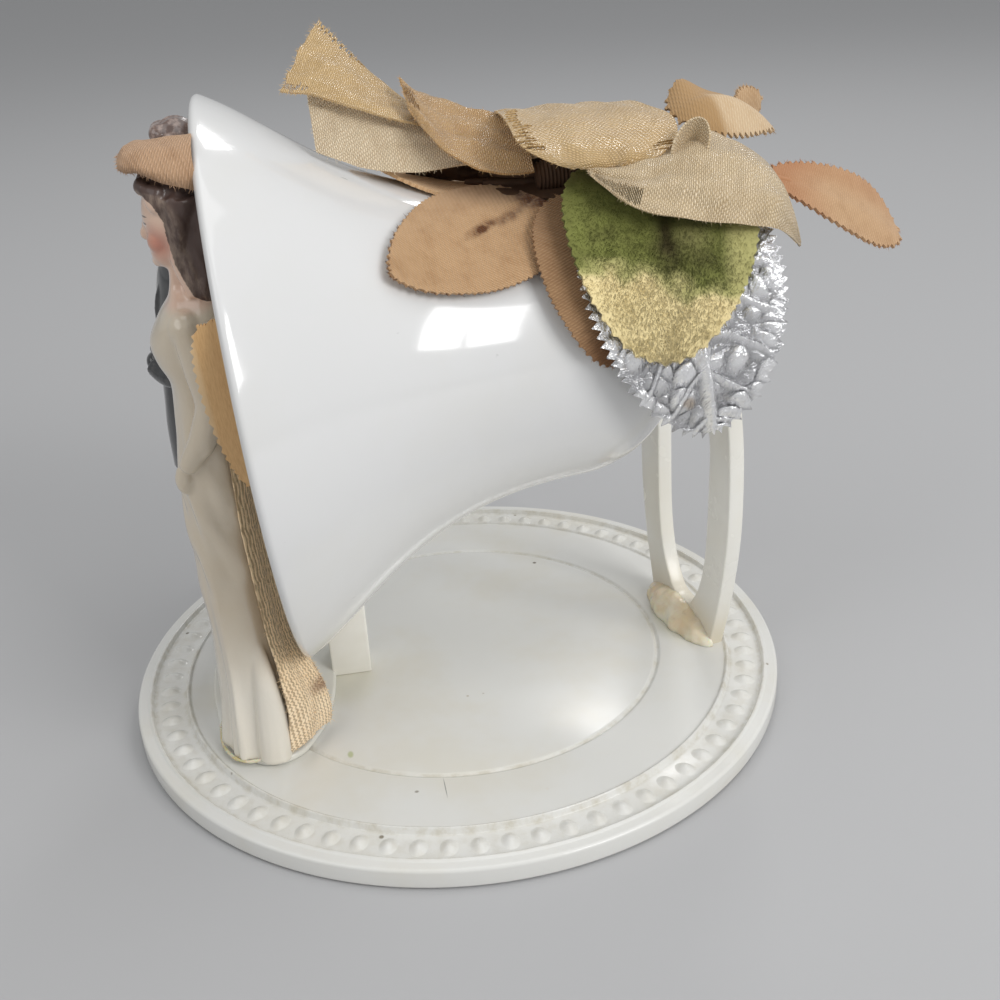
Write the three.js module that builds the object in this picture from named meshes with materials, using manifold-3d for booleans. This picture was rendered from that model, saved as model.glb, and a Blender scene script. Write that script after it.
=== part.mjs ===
// Wedding cake topper: a moulded base with a beaded border carries a bell lying on its side, a small
// couple in front of the bell's mouth, and a spray of fabric leaves and ribbon on the bell's shoulder.
// Millimetres, +Z up. The origin is the centre of the base's underside. The couple faces -Y, the bride
// stands on the +X side, and the bell's axis runs along +Y from its mouth to its crown.
import * as THREE from 'three';
import { mergeVertices } from 'three/addons/utils/BufferGeometryUtils.js';
import Module from 'manifold-3d';

const wasm = await Module();
wasm.setup();

// Clearances
const GLUE_GAP = 0.3;
const BORE_CLEARANCE = 0.8;

// Base plate
const BASE_THICKNESS = 2.7;
const BASE_EDGE_ROUND = 1.1;
const RIM_LIP_WIDTH = 1.9;
const BEAD_CHANNEL_WIDTH = 4.8;
const BEAD_CHANNEL_DEPTH = 0.5;
const BEAD_PITCH = 3.55;
const BEAD_LENGTH = 3.5;
const BEAD_WIDTH = 2.1;
const BEAD_HEIGHT = 0.75;
const BORDER_LINE_WIDTH = 0.4;
const BORDER_LINE_HEIGHT = 0.3;
const DECK_MARGIN = 0.1;
const CENTRE_LINE_RADIUS = 28.5;
const CENTRE_LINE_WIDTH = 0.7;
const CENTRE_LINE_DEPTH = 0.3;

// Bell
const BELL_MOUTH_RADIUS = 35.2;
const BELL_WAIST_RADIUS = 18.9;
const BELL_FLARE_LENGTH = 38.25;
const BELL_SHOULDER_LENGTH = 16.4;
const BELL_LIP_REACH = 9.5;
const BELL_LIP_FALL = 5;
const BELL_WAIST_REACH = 22.25;
const BELL_WALL = 1.5;
const BELL_LIP_BEAD = 0.4;
const BELL_TILT = 4.1;
const BELL_MIDDLE_Y = 5.055;
const BELL_LIP_HEIGHT = 8.3;
const STUD_RADIUS = 3;
const STUD_PROUD = 0.9;

// Bracket behind the bell
const BRACKET_TURN = 10;
const BRACKET_THICKNESS = 2.2;
const BRACKET_FOOT_HALF = 8.6;
const BRACKET_BOW_HALF = 12.9;
const BRACKET_ARM_WIDTH = 5.6;
const BRACKET_FOOT_HEIGHT = 3.2;
const BRACKET_RING_WALL = 3.4;
const FOOT_GLUE_DEPTH = 3.6;
const FOOT_GLUE_HEIGHT = 3;

// Rest under the bell's flare
const REST_HALF_WIDTH = 3;
const REST_LENGTH = 4.6;

// Couple, placed by how far it stands in front of the bell's lip. Rows of a figure give a height, half
// width, front depth and back depth, and joints of an arm give a centre and a radius. Skirts, legs and
// shoes are measured up from the plinth, and what hangs from the shoulders down from the head's centre.
const COUPLE_FORWARD = 4.7;
const PLINTH_THICKNESS = 1;
const PLINTH_HALF_WIDTH = 20;
const PLINTH_HALF_DEPTH = 8.5;
const PLINTH_CENTRE_X = 1;
const PLINTH_SETBACK = 3;
const BRIDE_X = 13.2;
const BRIDE_HEAD_HEIGHT = 67;
const BRIDE_SKIRT = [[0, 7.1, 3.8, 6.6], [3, 6.8, 3.4, 5.8], [8, 5.9, 3, 4.8], [14, 5.2, 2.9, 4.2]];
const BRIDE_BODICE = [
  [43, 4.9, 3.2, 4], [35, 5.4, 3.6, 4], [30, 5.6, 3.7, 3.8], [25, 5, 3.3, 3.4], [21, 4.3, 2.9, 3.1],
  [16.5, 4.9, 3.4, 3.2], [13, 5.4, 3.7, 3.3], [10.5, 5.8, 2.8, 3.2], [8.5, 4, 1.4, 2.8], [7, 2, 1, 2.4],
  [3, 1.9, 0.9, 2.3]];
const BRIDE_ARM = [
  [5.2, 0.5, 10.6, 1.5], [6, 1.8, 15.5, 1.5], [6.2, 2.1, 20.2, 1.3], [5.2, -0.4, 24.6, 1.2],
  [4, -2.7, 29, 1.1]];
const BRIDE_LOCKS = [[9.4, 3, 0.2, 3.2], [7.6, 4.3, 0.4, 3.6], [2, 4.6, 0.8, 3.9], [-2, 4.2, 1, 3.8]];
const BRIDE_HAIR = { setback: 0.7, rise: 1, thickness: 0.2 };
const GROOM_X = -9.4;
const GROOM_HEAD_HEIGHT = 68.4;
const GROOM_LEG_SPREAD = 2.5;
const GROOM_SHIN = [[0, 2.1, 2.4, 2.3], [2, 2, 2.2, 2.1], [16, 2.4, 2.4, 2.2]];
const GROOM_THIGH = [[35.4, 3, 2.9, 2.8]];
const GROOM_SHOE = [[0, 1.9, 5, 2], [1.2, 1.8, 4.8, 2], [2.4, 1.6, 2.6, 1.9]];
const GROOM_JACKET = [
  [39.4, 5.6, 3.4, 4], [35.4, 5.9, 3.7, 3.9], [28.4, 5.1, 3.6, 3.3], [22.4, 5.6, 4.1, 3.4],
  [16.4, 6.4, 4.3, 3.6], [12.4, 6.6, 3.6, 3.4], [10.1, 4, 2.4, 2.8], [8.4, 2.2, 1.8, 2], [4.4, 2.1, 1.7, 2]];
const GROOM_ARM = [
  [6.3, 0, 12.4, 1.9], [7, 0.6, 18.4, 1.8], [7.2, -0.6, 24.8, 1.7], [5.6, -3.8, 26.8, 1.5],
  [3.4, -5.7, 25.8, 1.4]];
const GROOM_HAIR = { setback: 0.6, rise: 1.2, thickness: 0.3 };
const HEAD_SETBACK = 0.3;
const NOSE_DROP = 1.8;
const NOSE_SINK = 0.3;
const NOSE_HALF = [0.6, 0.7, 0.9];
const HEAD_HALF_WIDTH = 3.6;
const HEAD_HALF_DEPTH = 3.3;
const HEAD_HALF_HEIGHT = 5.1;
const HEADPIECE_BACK = 3.2;
const HEADPIECE_FRONT = 4.8;
const HEADPIECE_OVERHANG = 1.4;
const HEADPIECE_PUFF = 0.6;
const HEADPIECE_ARCH = 3.6;
const HEADPIECE_DROOP = 2.6;
const HEADPIECE_TIP_DROOP = 0.6;
const CLOTH_THICKNESS = 0.6;
const VEIL_WIDTH = 14;
const VEIL_SHIFT = 0.8;
const VEIL_FOLDS = 3;
const VEIL_FOLD_DEPTH = 0.55;
const VEIL_TOP_SHARE = 0.55;
const VEIL_EDGE_WRAP = 0.9;
const VEIL_FALL = [[5, 4.5], [9, 4.5], [21, 4.7], [37, 5.1]];
const VEIL_FOOT = [[17, 5.3], [9, 5.9], [4, 7.4], [1, 8.8]];

// Spray on the bell's shoulder: stations are distances along the bell's axis from its mouth, turns
// are degrees about that axis from straight up towards +X, and lifts are heights over the bell.
const BINDING_RADIUS = 1.9;
const BINDING_START = 37;
const BINDING_LENGTH = 12;
const BINDING_TURN = 11;
const PETIOLE_WIDTH = 1;
const FOIL_TOOTH_DEPTH = 1.3;
const RIBBON_THICKNESS = 0.5;

// Leaves laid on the bell: the station and the turn past the binding where the stem starts, the heading
// over the bell, the blade's length and width, the stem, and the lift at root, middle and tip.
const NEAR_LEAF = {
  station: 39.6, turn: 6, heading: 158, length: 23, width: 16, petiole: 0.6, lift: [0.9, 0.85, 1.9] };
const TOP_LEAF = {
  station: 36.2, turn: -27.6, heading: 186, length: 18.5, width: 12, petiole: 0.6, lift: [1, 0.9, 1.6] };
const HANGING_LEAF = {
  station: 39.8, turn: 1, heading: 88, length: 23, width: 12, petiole: 1.6, lift: [2, 2.2, 1.3] };
const FOIL_LEAF = {
  station: 47.4, turn: 1, heading: 84, length: 35, width: 24, petiole: 1.6, lift: [3.2, 3.5, 2.6],
  belly: 0.75, blunt: 0.6, teeth: FOIL_TOOTH_DEPTH, rows: 26 };
const VELVET_LEAF = {
  station: 47, turn: 2, heading: 90, length: 25, width: 20.5, petiole: 1, lift: [4.4, 4.6, 4.4],
  belly: 0.75 };

// Wired leaves: how far the tip reaches from the stem's root, and which way the blade faces.
const REAR_LEAF = {
  reach: [-4.2, 36, -14.3], facing: [0.8, 0.3, 1], width: 9.6, petiole: 16, lift: [0, 3.6, 0.2], rows: 14 };
const HIGH_LEAF = {
  reach: [-4.6, 19.6, 0.6], facing: [0.15, 0.05, 1], width: 8, petiole: 6.5, lift: [0, 5.4, 0], cup: -0.8 };
const SMALL_LEAF = {
  reach: [-13.5, 20, 1.6], facing: [1, 0.3, 0.4], width: 4.6, petiole: 18.6, lift: [0, 0.6, 1.8], rows: 10 };
const STEM_SPREAD = 4;
const SIDE_LEAF = {
  reach: [-1.2, 1.4, -19.4], facing: [1, -0.2, 0], width: 6.6, petiole: 0.6, lift: [0, 0.4, 0] };
const SIDE_LEAF_TURN = 57.5;

// Ribbon stretches: a row is the station, turn and lift of one edge, then of the other, then how far
// the middle bows out.
const UPPER_TAIL = [
  [15.3, -5, 16.2, 9.5, 6, 6.2, 0.4], [18.2, -5, 13.9, 14, 6, 8, 0.4], [22.2, -5.5, 10.8, 21, 6, 8.2, 0.3],
  [28, -5, 7.7, 28, 6, 7.2, 0.2], [36, -4, 6.2, 36, 6, 6, 0]];
const LOWER_TAIL = [
  [12.4, 1.5, 7.4, 12.2, 6, 0.9, 0.5], [17, 1.5, 8, 17, 7, 1.4, 0.5], [22, 1, 7.3, 22, 8, 2.2, 0.4],
  [29, 0, 5.8, 29, 9, 3.9, 0.2], [36, -3, 5, 36, 8, 4.8, 0]];
const FOLD = [
  [22.8, 0, 13.2, 23.2, 7, 11.2, 0.3], [27.5, -4, 10.4, 26.2, 13.5, 9.2, 0.4],
  [31, -3, 9.2, 30.4, 16.5, 8, 0.4], [34.6, 0, 7.5, 34.2, 16, 7, 0.3]];
const LOOP = [
  [34.5, -9, 6.6, 50, -8, 5.6, 0], [33.9, -3, 8.6, 51, -2, 6.8, 0.2], [33.8, 6, 9.4, 52, 6, 7.2, 0.3],
  [33.8, 17, 10, 52, 16, 7.6, 0.3], [34.2, 25, 10, 50.6, 24, 7.6, 0.2], [37, 29, 9.2, 47.6, 28.5, 7.8, 0],
  [38.6, 27, 7.8, 46.4, 27, 6.8, 0]];
const REAR_TAIL = [
  [41.2, 31.8, 8.6, 41.2, 34, 8.2, 0], [45.6, 33.4, 8.7, 43, 40, 8, 0.5], [50.4, 31.8, 8.2, 46, 46, 7.6, 1.2],
  [55.8, 21, 6.6, 50.8, 49.6, 7.3, 2.2], [60.8, 18.8, 3.8, 56, 52.4, 6.8, 3], [64.4, 29, 1, 61, 54.2, 5, 2.6],
  [65.6, 53, -1, 65, 56.5, 0.2, 0]];

// Facets
const ROUND_STEPS = 44;
const BELL_STEPS = 36;
const PLINTH_STEPS = 40;
const FIGURE_STEPS = 16;
const LIMB_STEPS = 6;
const LIMB_SIDES = 7;
const HEADPIECE_STEPS = [8, 6];
const VEIL_STEPS = [14, 10];
const BINDING_STEPS = 12;

const radians = THREE.MathUtils.degToRad;
const baseTop = BASE_THICKNESS;
const plinthTop = baseTop + PLINTH_THICKNESS;
const topper = new THREE.Group();

// Solids

function bare(geometry) {
  const copy = geometry.clone();
  copy.deleteAttribute('normal');
  copy.deleteAttribute('uv');
  return mergeVertices(copy, 1e-4);
}

function solid(geometry) {
  const merged = bare(geometry);
  const vertProperties = new Float32Array(merged.attributes.position.array);
  const triVerts = new Uint32Array(merged.index.array);
  return new wasm.Manifold(new wasm.Mesh({ numProp: 3, vertProperties, triVerts }));
}

function geometryOf(body) {
  const mesh = body.getMesh();
  const geometry = new THREE.BufferGeometry();
  geometry.setAttribute('position', new THREE.BufferAttribute(new Float32Array(mesh.vertProperties), 3));
  geometry.setIndex(new THREE.BufferAttribute(new Uint32Array(mesh.triVerts), 1));
  geometry.computeVertexNormals();
  return geometry;
}

function joined(geometries) {
  const [first, ...rest] = geometries.map(solid);
  return geometryOf(rest.reduce((body, next) => body.add(next), first));
}

function geometryFrom(points, triangles) {
  const geometry = new THREE.BufferGeometry();
  geometry.setFromPoints(points);
  geometry.setIndex(triangles.flat());
  geometry.computeVertexNormals();
  return geometry;
}

// A closed body through rings of points, listed upwards, each anticlockwise seen from its far end.
function loft(rings) {
  const count = rings[0].length;
  const points = rings.flat();
  const triangles = [];
  for (let row = 0; row < rings.length - 1; row += 1) {
    for (let step = 0; step < count; step += 1) {
      const next = (step + 1) % count;
      const low = row * count;
      const high = low + count;
      triangles.push([low + step, low + next, high + next]);
      triangles.push([low + step, high + next, high + step]);
    }
  }
  const ends = [rings[0], rings[rings.length - 1]];
  ends.forEach((ring, end) => {
    const centre = ring.reduce((sum, point) => sum.add(point), new THREE.Vector3()).divideScalar(count);
    const offset = end * (rings.length - 1) * count;
    points.push(centre);
    for (let step = 0; step < count; step += 1) {
      const pair = [offset + step, offset + (step + 1) % count];
      triangles.push(end ? [points.length - 1, ...pair] : [points.length - 1, ...pair.reverse()]);
    }
  });
  return geometryFrom(points, triangles);
}

// A thin closed sheet of even thickness over a grid of points, given row by row.
function sheet(grid, thickness) {
  const rows = grid.length;
  const columns = grid[0].length;
  const normalAt = (row, column) => {
    const along = grid[Math.min(row + 1, rows - 1)][column].clone().sub(grid[Math.max(row - 1, 0)][column]);
    const across = grid[row][Math.min(column + 1, columns - 1)].clone();
    across.sub(grid[row][Math.max(column - 1, 0)]);
    return along.cross(across).normalize();
  };
  const faces = [0.5, -0.5].map((side) => grid.flatMap((line, row) => line.map(
    (point, column) => point.clone().addScaledVector(normalAt(row, column), side * thickness))));
  const under = rows * columns;
  const at = (row, column) => row * columns + column;
  const triangles = [];
  for (let row = 0; row < rows - 1; row += 1) {
    for (let column = 0; column < columns - 1; column += 1) {
      const [a, b] = [at(row, column), at(row + 1, column)];
      triangles.push([a, b, b + 1], [a, b + 1, a + 1]);
      triangles.push([under + a, under + b + 1, under + b], [under + a, under + a + 1, under + b + 1]);
    }
  }
  const rowSteps = Array.from({ length: rows - 1 }, (unused, step) => step);
  const columnSteps = Array.from({ length: columns - 1 }, (unused, step) => step);
  const rim = [
    ...rowSteps.map((row) => at(row, 0)),
    ...columnSteps.map((column) => at(rows - 1, column)),
    ...rowSteps.map((row) => at(rows - 1 - row, columns - 1)),
    ...columnSteps.map((column) => at(0, columns - 1 - column))];
  rim.forEach((near, index) => {
    const next = rim[(index + 1) % rim.length];
    triangles.push([near, under + near, under + next], [near, under + next, next]);
  });
  return geometryFrom(faces.flat(), triangles);
}

function add(parent, name, geometry, colour, roughness, metalness = 0) {
  const material = new THREE.MeshStandardMaterial({ color: colour, roughness, metalness });
  const mesh = new THREE.Mesh(geometry, material);
  mesh.name = name;
  parent.add(mesh);
  return mesh;
}

const IVORY = 0xe9e7dc;
const WHITE = 0xeeeeec;
const PEARL = 0xe4dccf;
const TAN = 0xb98f63;
const GOLD = 0xcdb07a;
const GLUE = 0xc99a55;

// Bell: a thin flared shell lying on its side, with a stud on its crown.

const bellLength = BELL_FLARE_LENGTH + BELL_SHOULDER_LENGTH;
const studLength = BRACKET_THICKNESS + 2 * STUD_PROUD;
const bellTilt = radians(BELL_TILT);
const bellAxis = new THREE.Vector3(0, Math.cos(bellTilt), Math.sin(bellTilt));
const bellUp = new THREE.Vector3(0, -Math.sin(bellTilt), Math.cos(bellTilt));
const bellMouth = new THREE.Vector3(
  0, BELL_MIDDLE_Y - bellAxis.y * bellLength / 2, baseTop + BELL_LIP_HEIGHT + BELL_MOUTH_RADIUS * Math.cos(bellTilt));
const flare = new THREE.CubicBezierCurve(
  new THREE.Vector2(BELL_MOUTH_RADIUS, 0),
  new THREE.Vector2(BELL_MOUTH_RADIUS - BELL_LIP_FALL, BELL_LIP_REACH),
  new THREE.Vector2(BELL_WAIST_RADIUS, BELL_FLARE_LENGTH - BELL_WAIST_REACH),
  new THREE.Vector2(BELL_WAIST_RADIUS, BELL_FLARE_LENGTH));

function flareRadius(station) {
  let [low, high] = [0, 1];
  for (let halving = 0; halving < 24; halving += 1) {
    const middle = (low + high) / 2;
    if (flare.getPoint(middle).y < station) low = middle;
    else high = middle;
  }
  return flare.getPoint(low).x;
}

// The spray follows the flare up to the waist, and beyond it a tube of the waist's radius.
function bellPoint(station, turn, lift) {
  const reach = flareRadius(THREE.MathUtils.clamp(station, 0, BELL_FLARE_LENGTH)) + lift;
  const angle = radians(turn);
  return bellMouth.clone()
    .addScaledVector(bellAxis, station)
    .addScaledVector(bellUp, reach * Math.cos(angle))
    .add(new THREE.Vector3(reach * Math.sin(angle), 0, 0));
}

// The outer profile moved out by a distance, as radius and station, from the mouth to the crown.
function bellProfile(distance) {
  const shoulderRadius = BELL_WAIST_RADIUS + distance;
  const shoulderLength = BELL_SHOULDER_LENGTH + distance;
  const points = flare.getPoints(9).map((point) => new THREE.Vector2(point.x + distance, point.y));
  for (let step = 1; step <= 6; step += 1) {
    const angle = step / 6 * Math.PI / 2;
    points.push(new THREE.Vector2(
      shoulderRadius * Math.cos(angle), BELL_FLARE_LENGTH + shoulderLength * Math.sin(angle)));
  }
  return points;
}

function layAlongBell(geometry) {
  return geometry.rotateX(bellTilt).translate(...bellMouth.toArray());
}

function bellShell() {
  const outer = bellProfile(0);
  const inner = bellProfile(-BELL_WALL).reverse();
  const lip = new THREE.Vector2(BELL_MOUTH_RADIUS - BELL_WALL / 2, -BELL_LIP_BEAD);
  outer[outer.length - 1].x = 0;
  inner[0].x = 0;
  const shell = new THREE.LatheGeometry([...outer.reverse(), lip, ...inner.reverse()].reverse(), BELL_STEPS);
  const stud = new THREE.CylinderGeometry(STUD_RADIUS, STUD_RADIUS, studLength + BELL_WALL, 16);
  stud.translate(0, bellLength + (studLength - BELL_WALL) / 2, 0);
  return layAlongBell(joined([shell, stud]));
}

add(topper, 'bell', bellShell(), WHITE, 0.2);

// Bracket: a lyre-shaped plate, glued a little askew, whose ring holds the bell's stud.

const ringStation = bellLength + studLength / 2;
const ringCentre = bellMouth.clone().addScaledVector(bellAxis, ringStation);
const bracket = new THREE.Group();
bracket.position.set(0, ringCentre.y, baseTop);
bracket.rotation.z = radians(BRACKET_TURN);
topper.add(bracket);

function bracketPlate() {
  const ringHeight = ringCentre.z - baseTop;
  const bore = STUD_RADIUS + BORE_CLEARANCE;
  const ring = bore + BRACKET_RING_WALL;
  const bowHeight = ringHeight / 2;
  const halfAt = [
    [BRACKET_FOOT_HALF, 0],
    [(BRACKET_FOOT_HALF + 2 * BRACKET_BOW_HALF) / 3, bowHeight * 0.45],
    [BRACKET_BOW_HALF, bowHeight],
    [(BRACKET_BOW_HALF + ring) / 2 + 1, ringHeight - ring * 1.2],
    [ring, ringHeight]];
  const right = halfAt.map(([half, height]) => new THREE.Vector2(half, height));
  const mirrored = (points) => points.map((point) => new THREE.Vector2(-point.x, point.y)).reverse();
  const side = new THREE.SplineCurve(right).getPoints(14);
  const crown = new THREE.EllipseCurve(0, ringHeight, ring, ring, 0, Math.PI).getPoints(14).slice(1, -1);
  const outline = new THREE.Shape([...side, ...crown, ...mirrored(side)]);
  const gapTop = ringHeight - ring - 1;
  const gapHalf = [
    new THREE.Vector2(0, BRACKET_FOOT_HEIGHT),
    new THREE.Vector2(BRACKET_FOOT_HALF - BRACKET_ARM_WIDTH, BRACKET_FOOT_HEIGHT + 1),
    new THREE.Vector2(BRACKET_BOW_HALF - BRACKET_ARM_WIDTH, bowHeight),
    new THREE.Vector2((BRACKET_BOW_HALF - BRACKET_ARM_WIDTH) * 0.7, gapTop - 3),
    new THREE.Vector2(0, gapTop)];
  const gapSide = new THREE.SplineCurve(gapHalf).getPoints(14);
  outline.holes.push(new THREE.Path([...gapSide, ...mirrored(gapSide).slice(1, -1)]));
  const boreRing = new THREE.EllipseCurve(0, ringHeight, bore, bore, 0, 2 * Math.PI);
  outline.holes.push(new THREE.Path(boreRing.getPoints(20).slice(1)));
  const plate = new THREE.ExtrudeGeometry(outline, {
    depth: BRACKET_THICKNESS, bevelEnabled: false });
  return plate.rotateX(Math.PI / 2).translate(0, BRACKET_THICKNESS / 2, 0);
}

add(bracket, 'bell_bracket', bracketPlate(), IVORY, 0.35);

function footGlue() {
  const half = BRACKET_FOOT_HALF + 1;
  const front = -BRACKET_THICKNESS / 2 - GLUE_GAP;
  const rings = Array.from({ length: 7 }, (unused, row) => {
    const along = row / 6 * 2 - 1;
    const swell = 0.35 + 0.65 * Math.sqrt(1 - along * along * 0.95);
    const x = -along * half;
    return [
      new THREE.Vector3(x, front, 0),
      new THREE.Vector3(x, front - FOOT_GLUE_DEPTH * swell, 0),
      new THREE.Vector3(x, front - FOOT_GLUE_DEPTH * swell * 0.7, FOOT_GLUE_HEIGHT * swell * 0.6),
      new THREE.Vector3(x, front, FOOT_GLUE_HEIGHT * swell)];
  });
  return loft(rings);
}

add(bracket, 'bracket_glue', footGlue(), GLUE, 0.3);

// Couple: a thin oval plinth, and two solid painted figures that stand on it.

// The front of the bell's lip at a height, where the lip leans towards the couple.
function lipFront(height) {
  return bellMouth.y - Math.tan(bellTilt) * (height - bellMouth.z) - BELL_LIP_BEAD;
}

const brideY = lipFront(plinthTop + BRIDE_HEAD_HEIGHT) - COUPLE_FORWARD;
const groomY = lipFront(plinthTop + GROOM_HEAD_HEIGHT) - COUPLE_FORWARD;
const plinthCentreY = brideY + PLINTH_SETBACK;
const plinthRear = plinthCentreY + PLINTH_HALF_DEPTH;

function ovalRing(centreX, centreY, height, halfWidth, halfDepth, count) {
  return Array.from({ length: count }, (unused, step) => {
    const angle = step / count * 2 * Math.PI;
    return new THREE.Vector3(
      centreX + halfWidth * Math.cos(angle), centreY + halfDepth * Math.sin(angle), height);
  });
}

const plinthRings = [baseTop, plinthTop].map((height) => ovalRing(
  PLINTH_CENTRE_X, plinthCentreY, height, PLINTH_HALF_WIDTH, PLINTH_HALF_DEPTH, PLINTH_STEPS));
add(topper, 'figure_plinth', loft(plinthRings), IVORY, 0.35);

// Base plate: one moulding, its border a channel of oval beads outside all that stands on its deck.

const footCorner = new THREE.Vector3(BRACKET_FOOT_HALF, BRACKET_THICKNESS / 2, 0)
  .applyAxisAngle(new THREE.Vector3(0, 0, 1), radians(BRACKET_TURN)).add(bracket.position);
const deckReach = Math.max(...[footCorner, ...plinthRings[0]].map((point) => Math.hypot(point.x, point.y)));
const lineInner = deckReach + DECK_MARGIN;
const channelInner = lineInner + BORDER_LINE_WIDTH;
const channelOuter = channelInner + BEAD_CHANNEL_WIDTH;
const baseRadius = channelOuter + RIM_LIP_WIDTH;
const channelFloor = baseTop - BEAD_CHANNEL_DEPTH;
const centreLineFloor = baseTop - CENTRE_LINE_DEPTH;

function basePlate() {
  const round = Math.min(BASE_EDGE_ROUND, 0.45 * BASE_THICKNESS);
  const profile = new THREE.Path();
  profile.moveTo(0, 0);
  profile.lineTo(baseRadius - round, 0);
  profile.absarc(baseRadius - round, round, round, -Math.PI / 2, 0);
  profile.absarc(baseRadius - round, baseTop - round, round, 0, Math.PI / 2);
  profile.lineTo(channelOuter, baseTop);
  profile.lineTo(channelOuter, channelFloor);
  profile.lineTo(channelInner, channelFloor);
  profile.lineTo(channelInner, baseTop + BORDER_LINE_HEIGHT);
  profile.lineTo(lineInner, baseTop);
  profile.lineTo(CENTRE_LINE_RADIUS + CENTRE_LINE_WIDTH / 2, baseTop);
  profile.lineTo(CENTRE_LINE_RADIUS, centreLineFloor);
  profile.lineTo(CENTRE_LINE_RADIUS - CENTRE_LINE_WIDTH / 2, baseTop);
  profile.lineTo(0, baseTop);
  const plate = new THREE.LatheGeometry(profile.getPoints(2), ROUND_STEPS).rotateX(Math.PI / 2);
  const beadRadius = (channelInner + channelOuter) / 2;
  const beadCount = Math.round(2 * Math.PI * beadRadius / BEAD_PITCH);
  const beads = Array.from({ length: beadCount }, (unused, index) => {
    const bead = new THREE.SphereGeometry(0.5, 6, 3).rotateX(Math.PI / 2);
    bead.scale(BEAD_LENGTH, BEAD_WIDTH, 2 * BEAD_HEIGHT);
    bead.translate(beadRadius, 0, channelFloor);
    return bead.rotateZ(index / beadCount * 2 * Math.PI);
  });
  return joined([plate, ...beads]);
}

add(topper, 'base_plate', basePlate(), IVORY, 0.32);

// Rest: a small block under the bell's flare, its top hollowed to the bell.

function bellRest() {
  const front = plinthRear + GLUE_GAP;
  const top = bellMouth.z;
  const block = new THREE.BoxGeometry(2 * REST_HALF_WIDTH, REST_LENGTH, top - baseTop);
  block.translate(0, front + REST_LENGTH / 2, (top + baseTop) / 2);
  const profile = bellProfile(GLUE_GAP);
  const mouth = new THREE.Vector2(profile[0].x, -BELL_WALL);
  const fill = [new THREE.Vector2(0, -BELL_WALL), mouth, ...profile];
  fill[fill.length - 1].x = 0;
  const bellFill = layAlongBell(new THREE.LatheGeometry(fill, BELL_STEPS));
  return geometryOf(solid(block).subtract(solid(bellFill)));
}

add(topper, 'bell_rest', bellRest(), IVORY, 0.35);

// Figures are lofted through their rows, upwards.
function figureRing([height, halfWidth, front, back, shift = 0], count) {
  return Array.from({ length: count }, (unused, step) => {
    const angle = step / count * 2 * Math.PI;
    const depth = Math.sin(angle) < 0 ? front : back;
    return new THREE.Vector3(halfWidth * Math.cos(angle) + shift, depth * Math.sin(angle), height);
  });
}

function figureLoft(rows, count = FIGURE_STEPS) {
  return loft(rows.map((row) => figureRing(row, count)));
}

// Rows measured down from the head's centre, as heights over the plinth.
function belowHead(headHeight, rows) {
  return rows.map(([drop, ...row]) => [headHeight - drop, ...row]);
}

// A limb: a round tube through joints below the head, each with its own radius.
function limb(joints, headHeight) {
  const centres = joints.map(([x, y, drop]) => new THREE.Vector3(x, y, headHeight - drop));
  const curve = new THREE.CatmullRomCurve3(centres);
  const frames = curve.computeFrenetFrames(LIMB_STEPS);
  return loft(Array.from({ length: LIMB_STEPS + 1 }, (unused, row) => {
    const place = row / LIMB_STEPS * (joints.length - 1);
    const joint = Math.min(Math.floor(place), joints.length - 2);
    const radius = THREE.MathUtils.lerp(joints[joint][3], joints[joint + 1][3], place - joint);
    const centre = curve.getPoint(row / LIMB_STEPS);
    return Array.from({ length: LIMB_SIDES }, (ignored, step) => {
      const angle = step / LIMB_SIDES * 2 * Math.PI;
      return centre.clone()
        .addScaledVector(frames.normals[row], radius * Math.cos(angle))
        .addScaledVector(frames.binormals[row], radius * Math.sin(angle));
    });
  }));
}

function mirroredArm(joints) {
  return joints.map(([x, ...rest]) => [-x, ...rest]);
}

function ball(y, z, halfWidth, halfDepth, halfHeight) {
  return new THREE.SphereGeometry(1, 12, 8).rotateX(Math.PI / 2)
    .scale(halfWidth, halfDepth, halfHeight).translate(0, y, z);
}

// A head with its nose, and the cap of hair over it, which stands out by the hair's thickness.
function head(headHeight, hair) {
  const cap = hair.thickness;
  return [
    ball(HEAD_SETBACK, headHeight, HEAD_HALF_WIDTH, HEAD_HALF_DEPTH, HEAD_HALF_HEIGHT),
    ball(NOSE_SINK - HEAD_HALF_DEPTH, headHeight - NOSE_DROP, ...NOSE_HALF),
    ball(hair.setback, headHeight + hair.rise,
      HEAD_HALF_WIDTH + cap, HEAD_HALF_DEPTH + cap, HEAD_HALF_HEIGHT + cap)];
}

const bride = new THREE.Group();
bride.position.set(BRIDE_X, brideY, plinthTop);
topper.add(bride);

function brideFigure() {
  return joined([
    figureLoft([...BRIDE_SKIRT, ...belowHead(BRIDE_HEAD_HEIGHT, BRIDE_BODICE)]),
    limb(BRIDE_ARM, BRIDE_HEAD_HEIGHT),
    limb(mirroredArm(BRIDE_ARM), BRIDE_HEAD_HEIGHT),
    ...head(BRIDE_HEAD_HEIGHT, BRIDE_HAIR),
    figureLoft(belowHead(BRIDE_HEAD_HEIGHT, BRIDE_LOCKS), 12)]);
}

add(bride, 'bride_figure', brideFigure(), PEARL, 0.25);

const groom = new THREE.Group();
groom.position.set(GROOM_X, groomY, plinthTop);
topper.add(groom);

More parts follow.
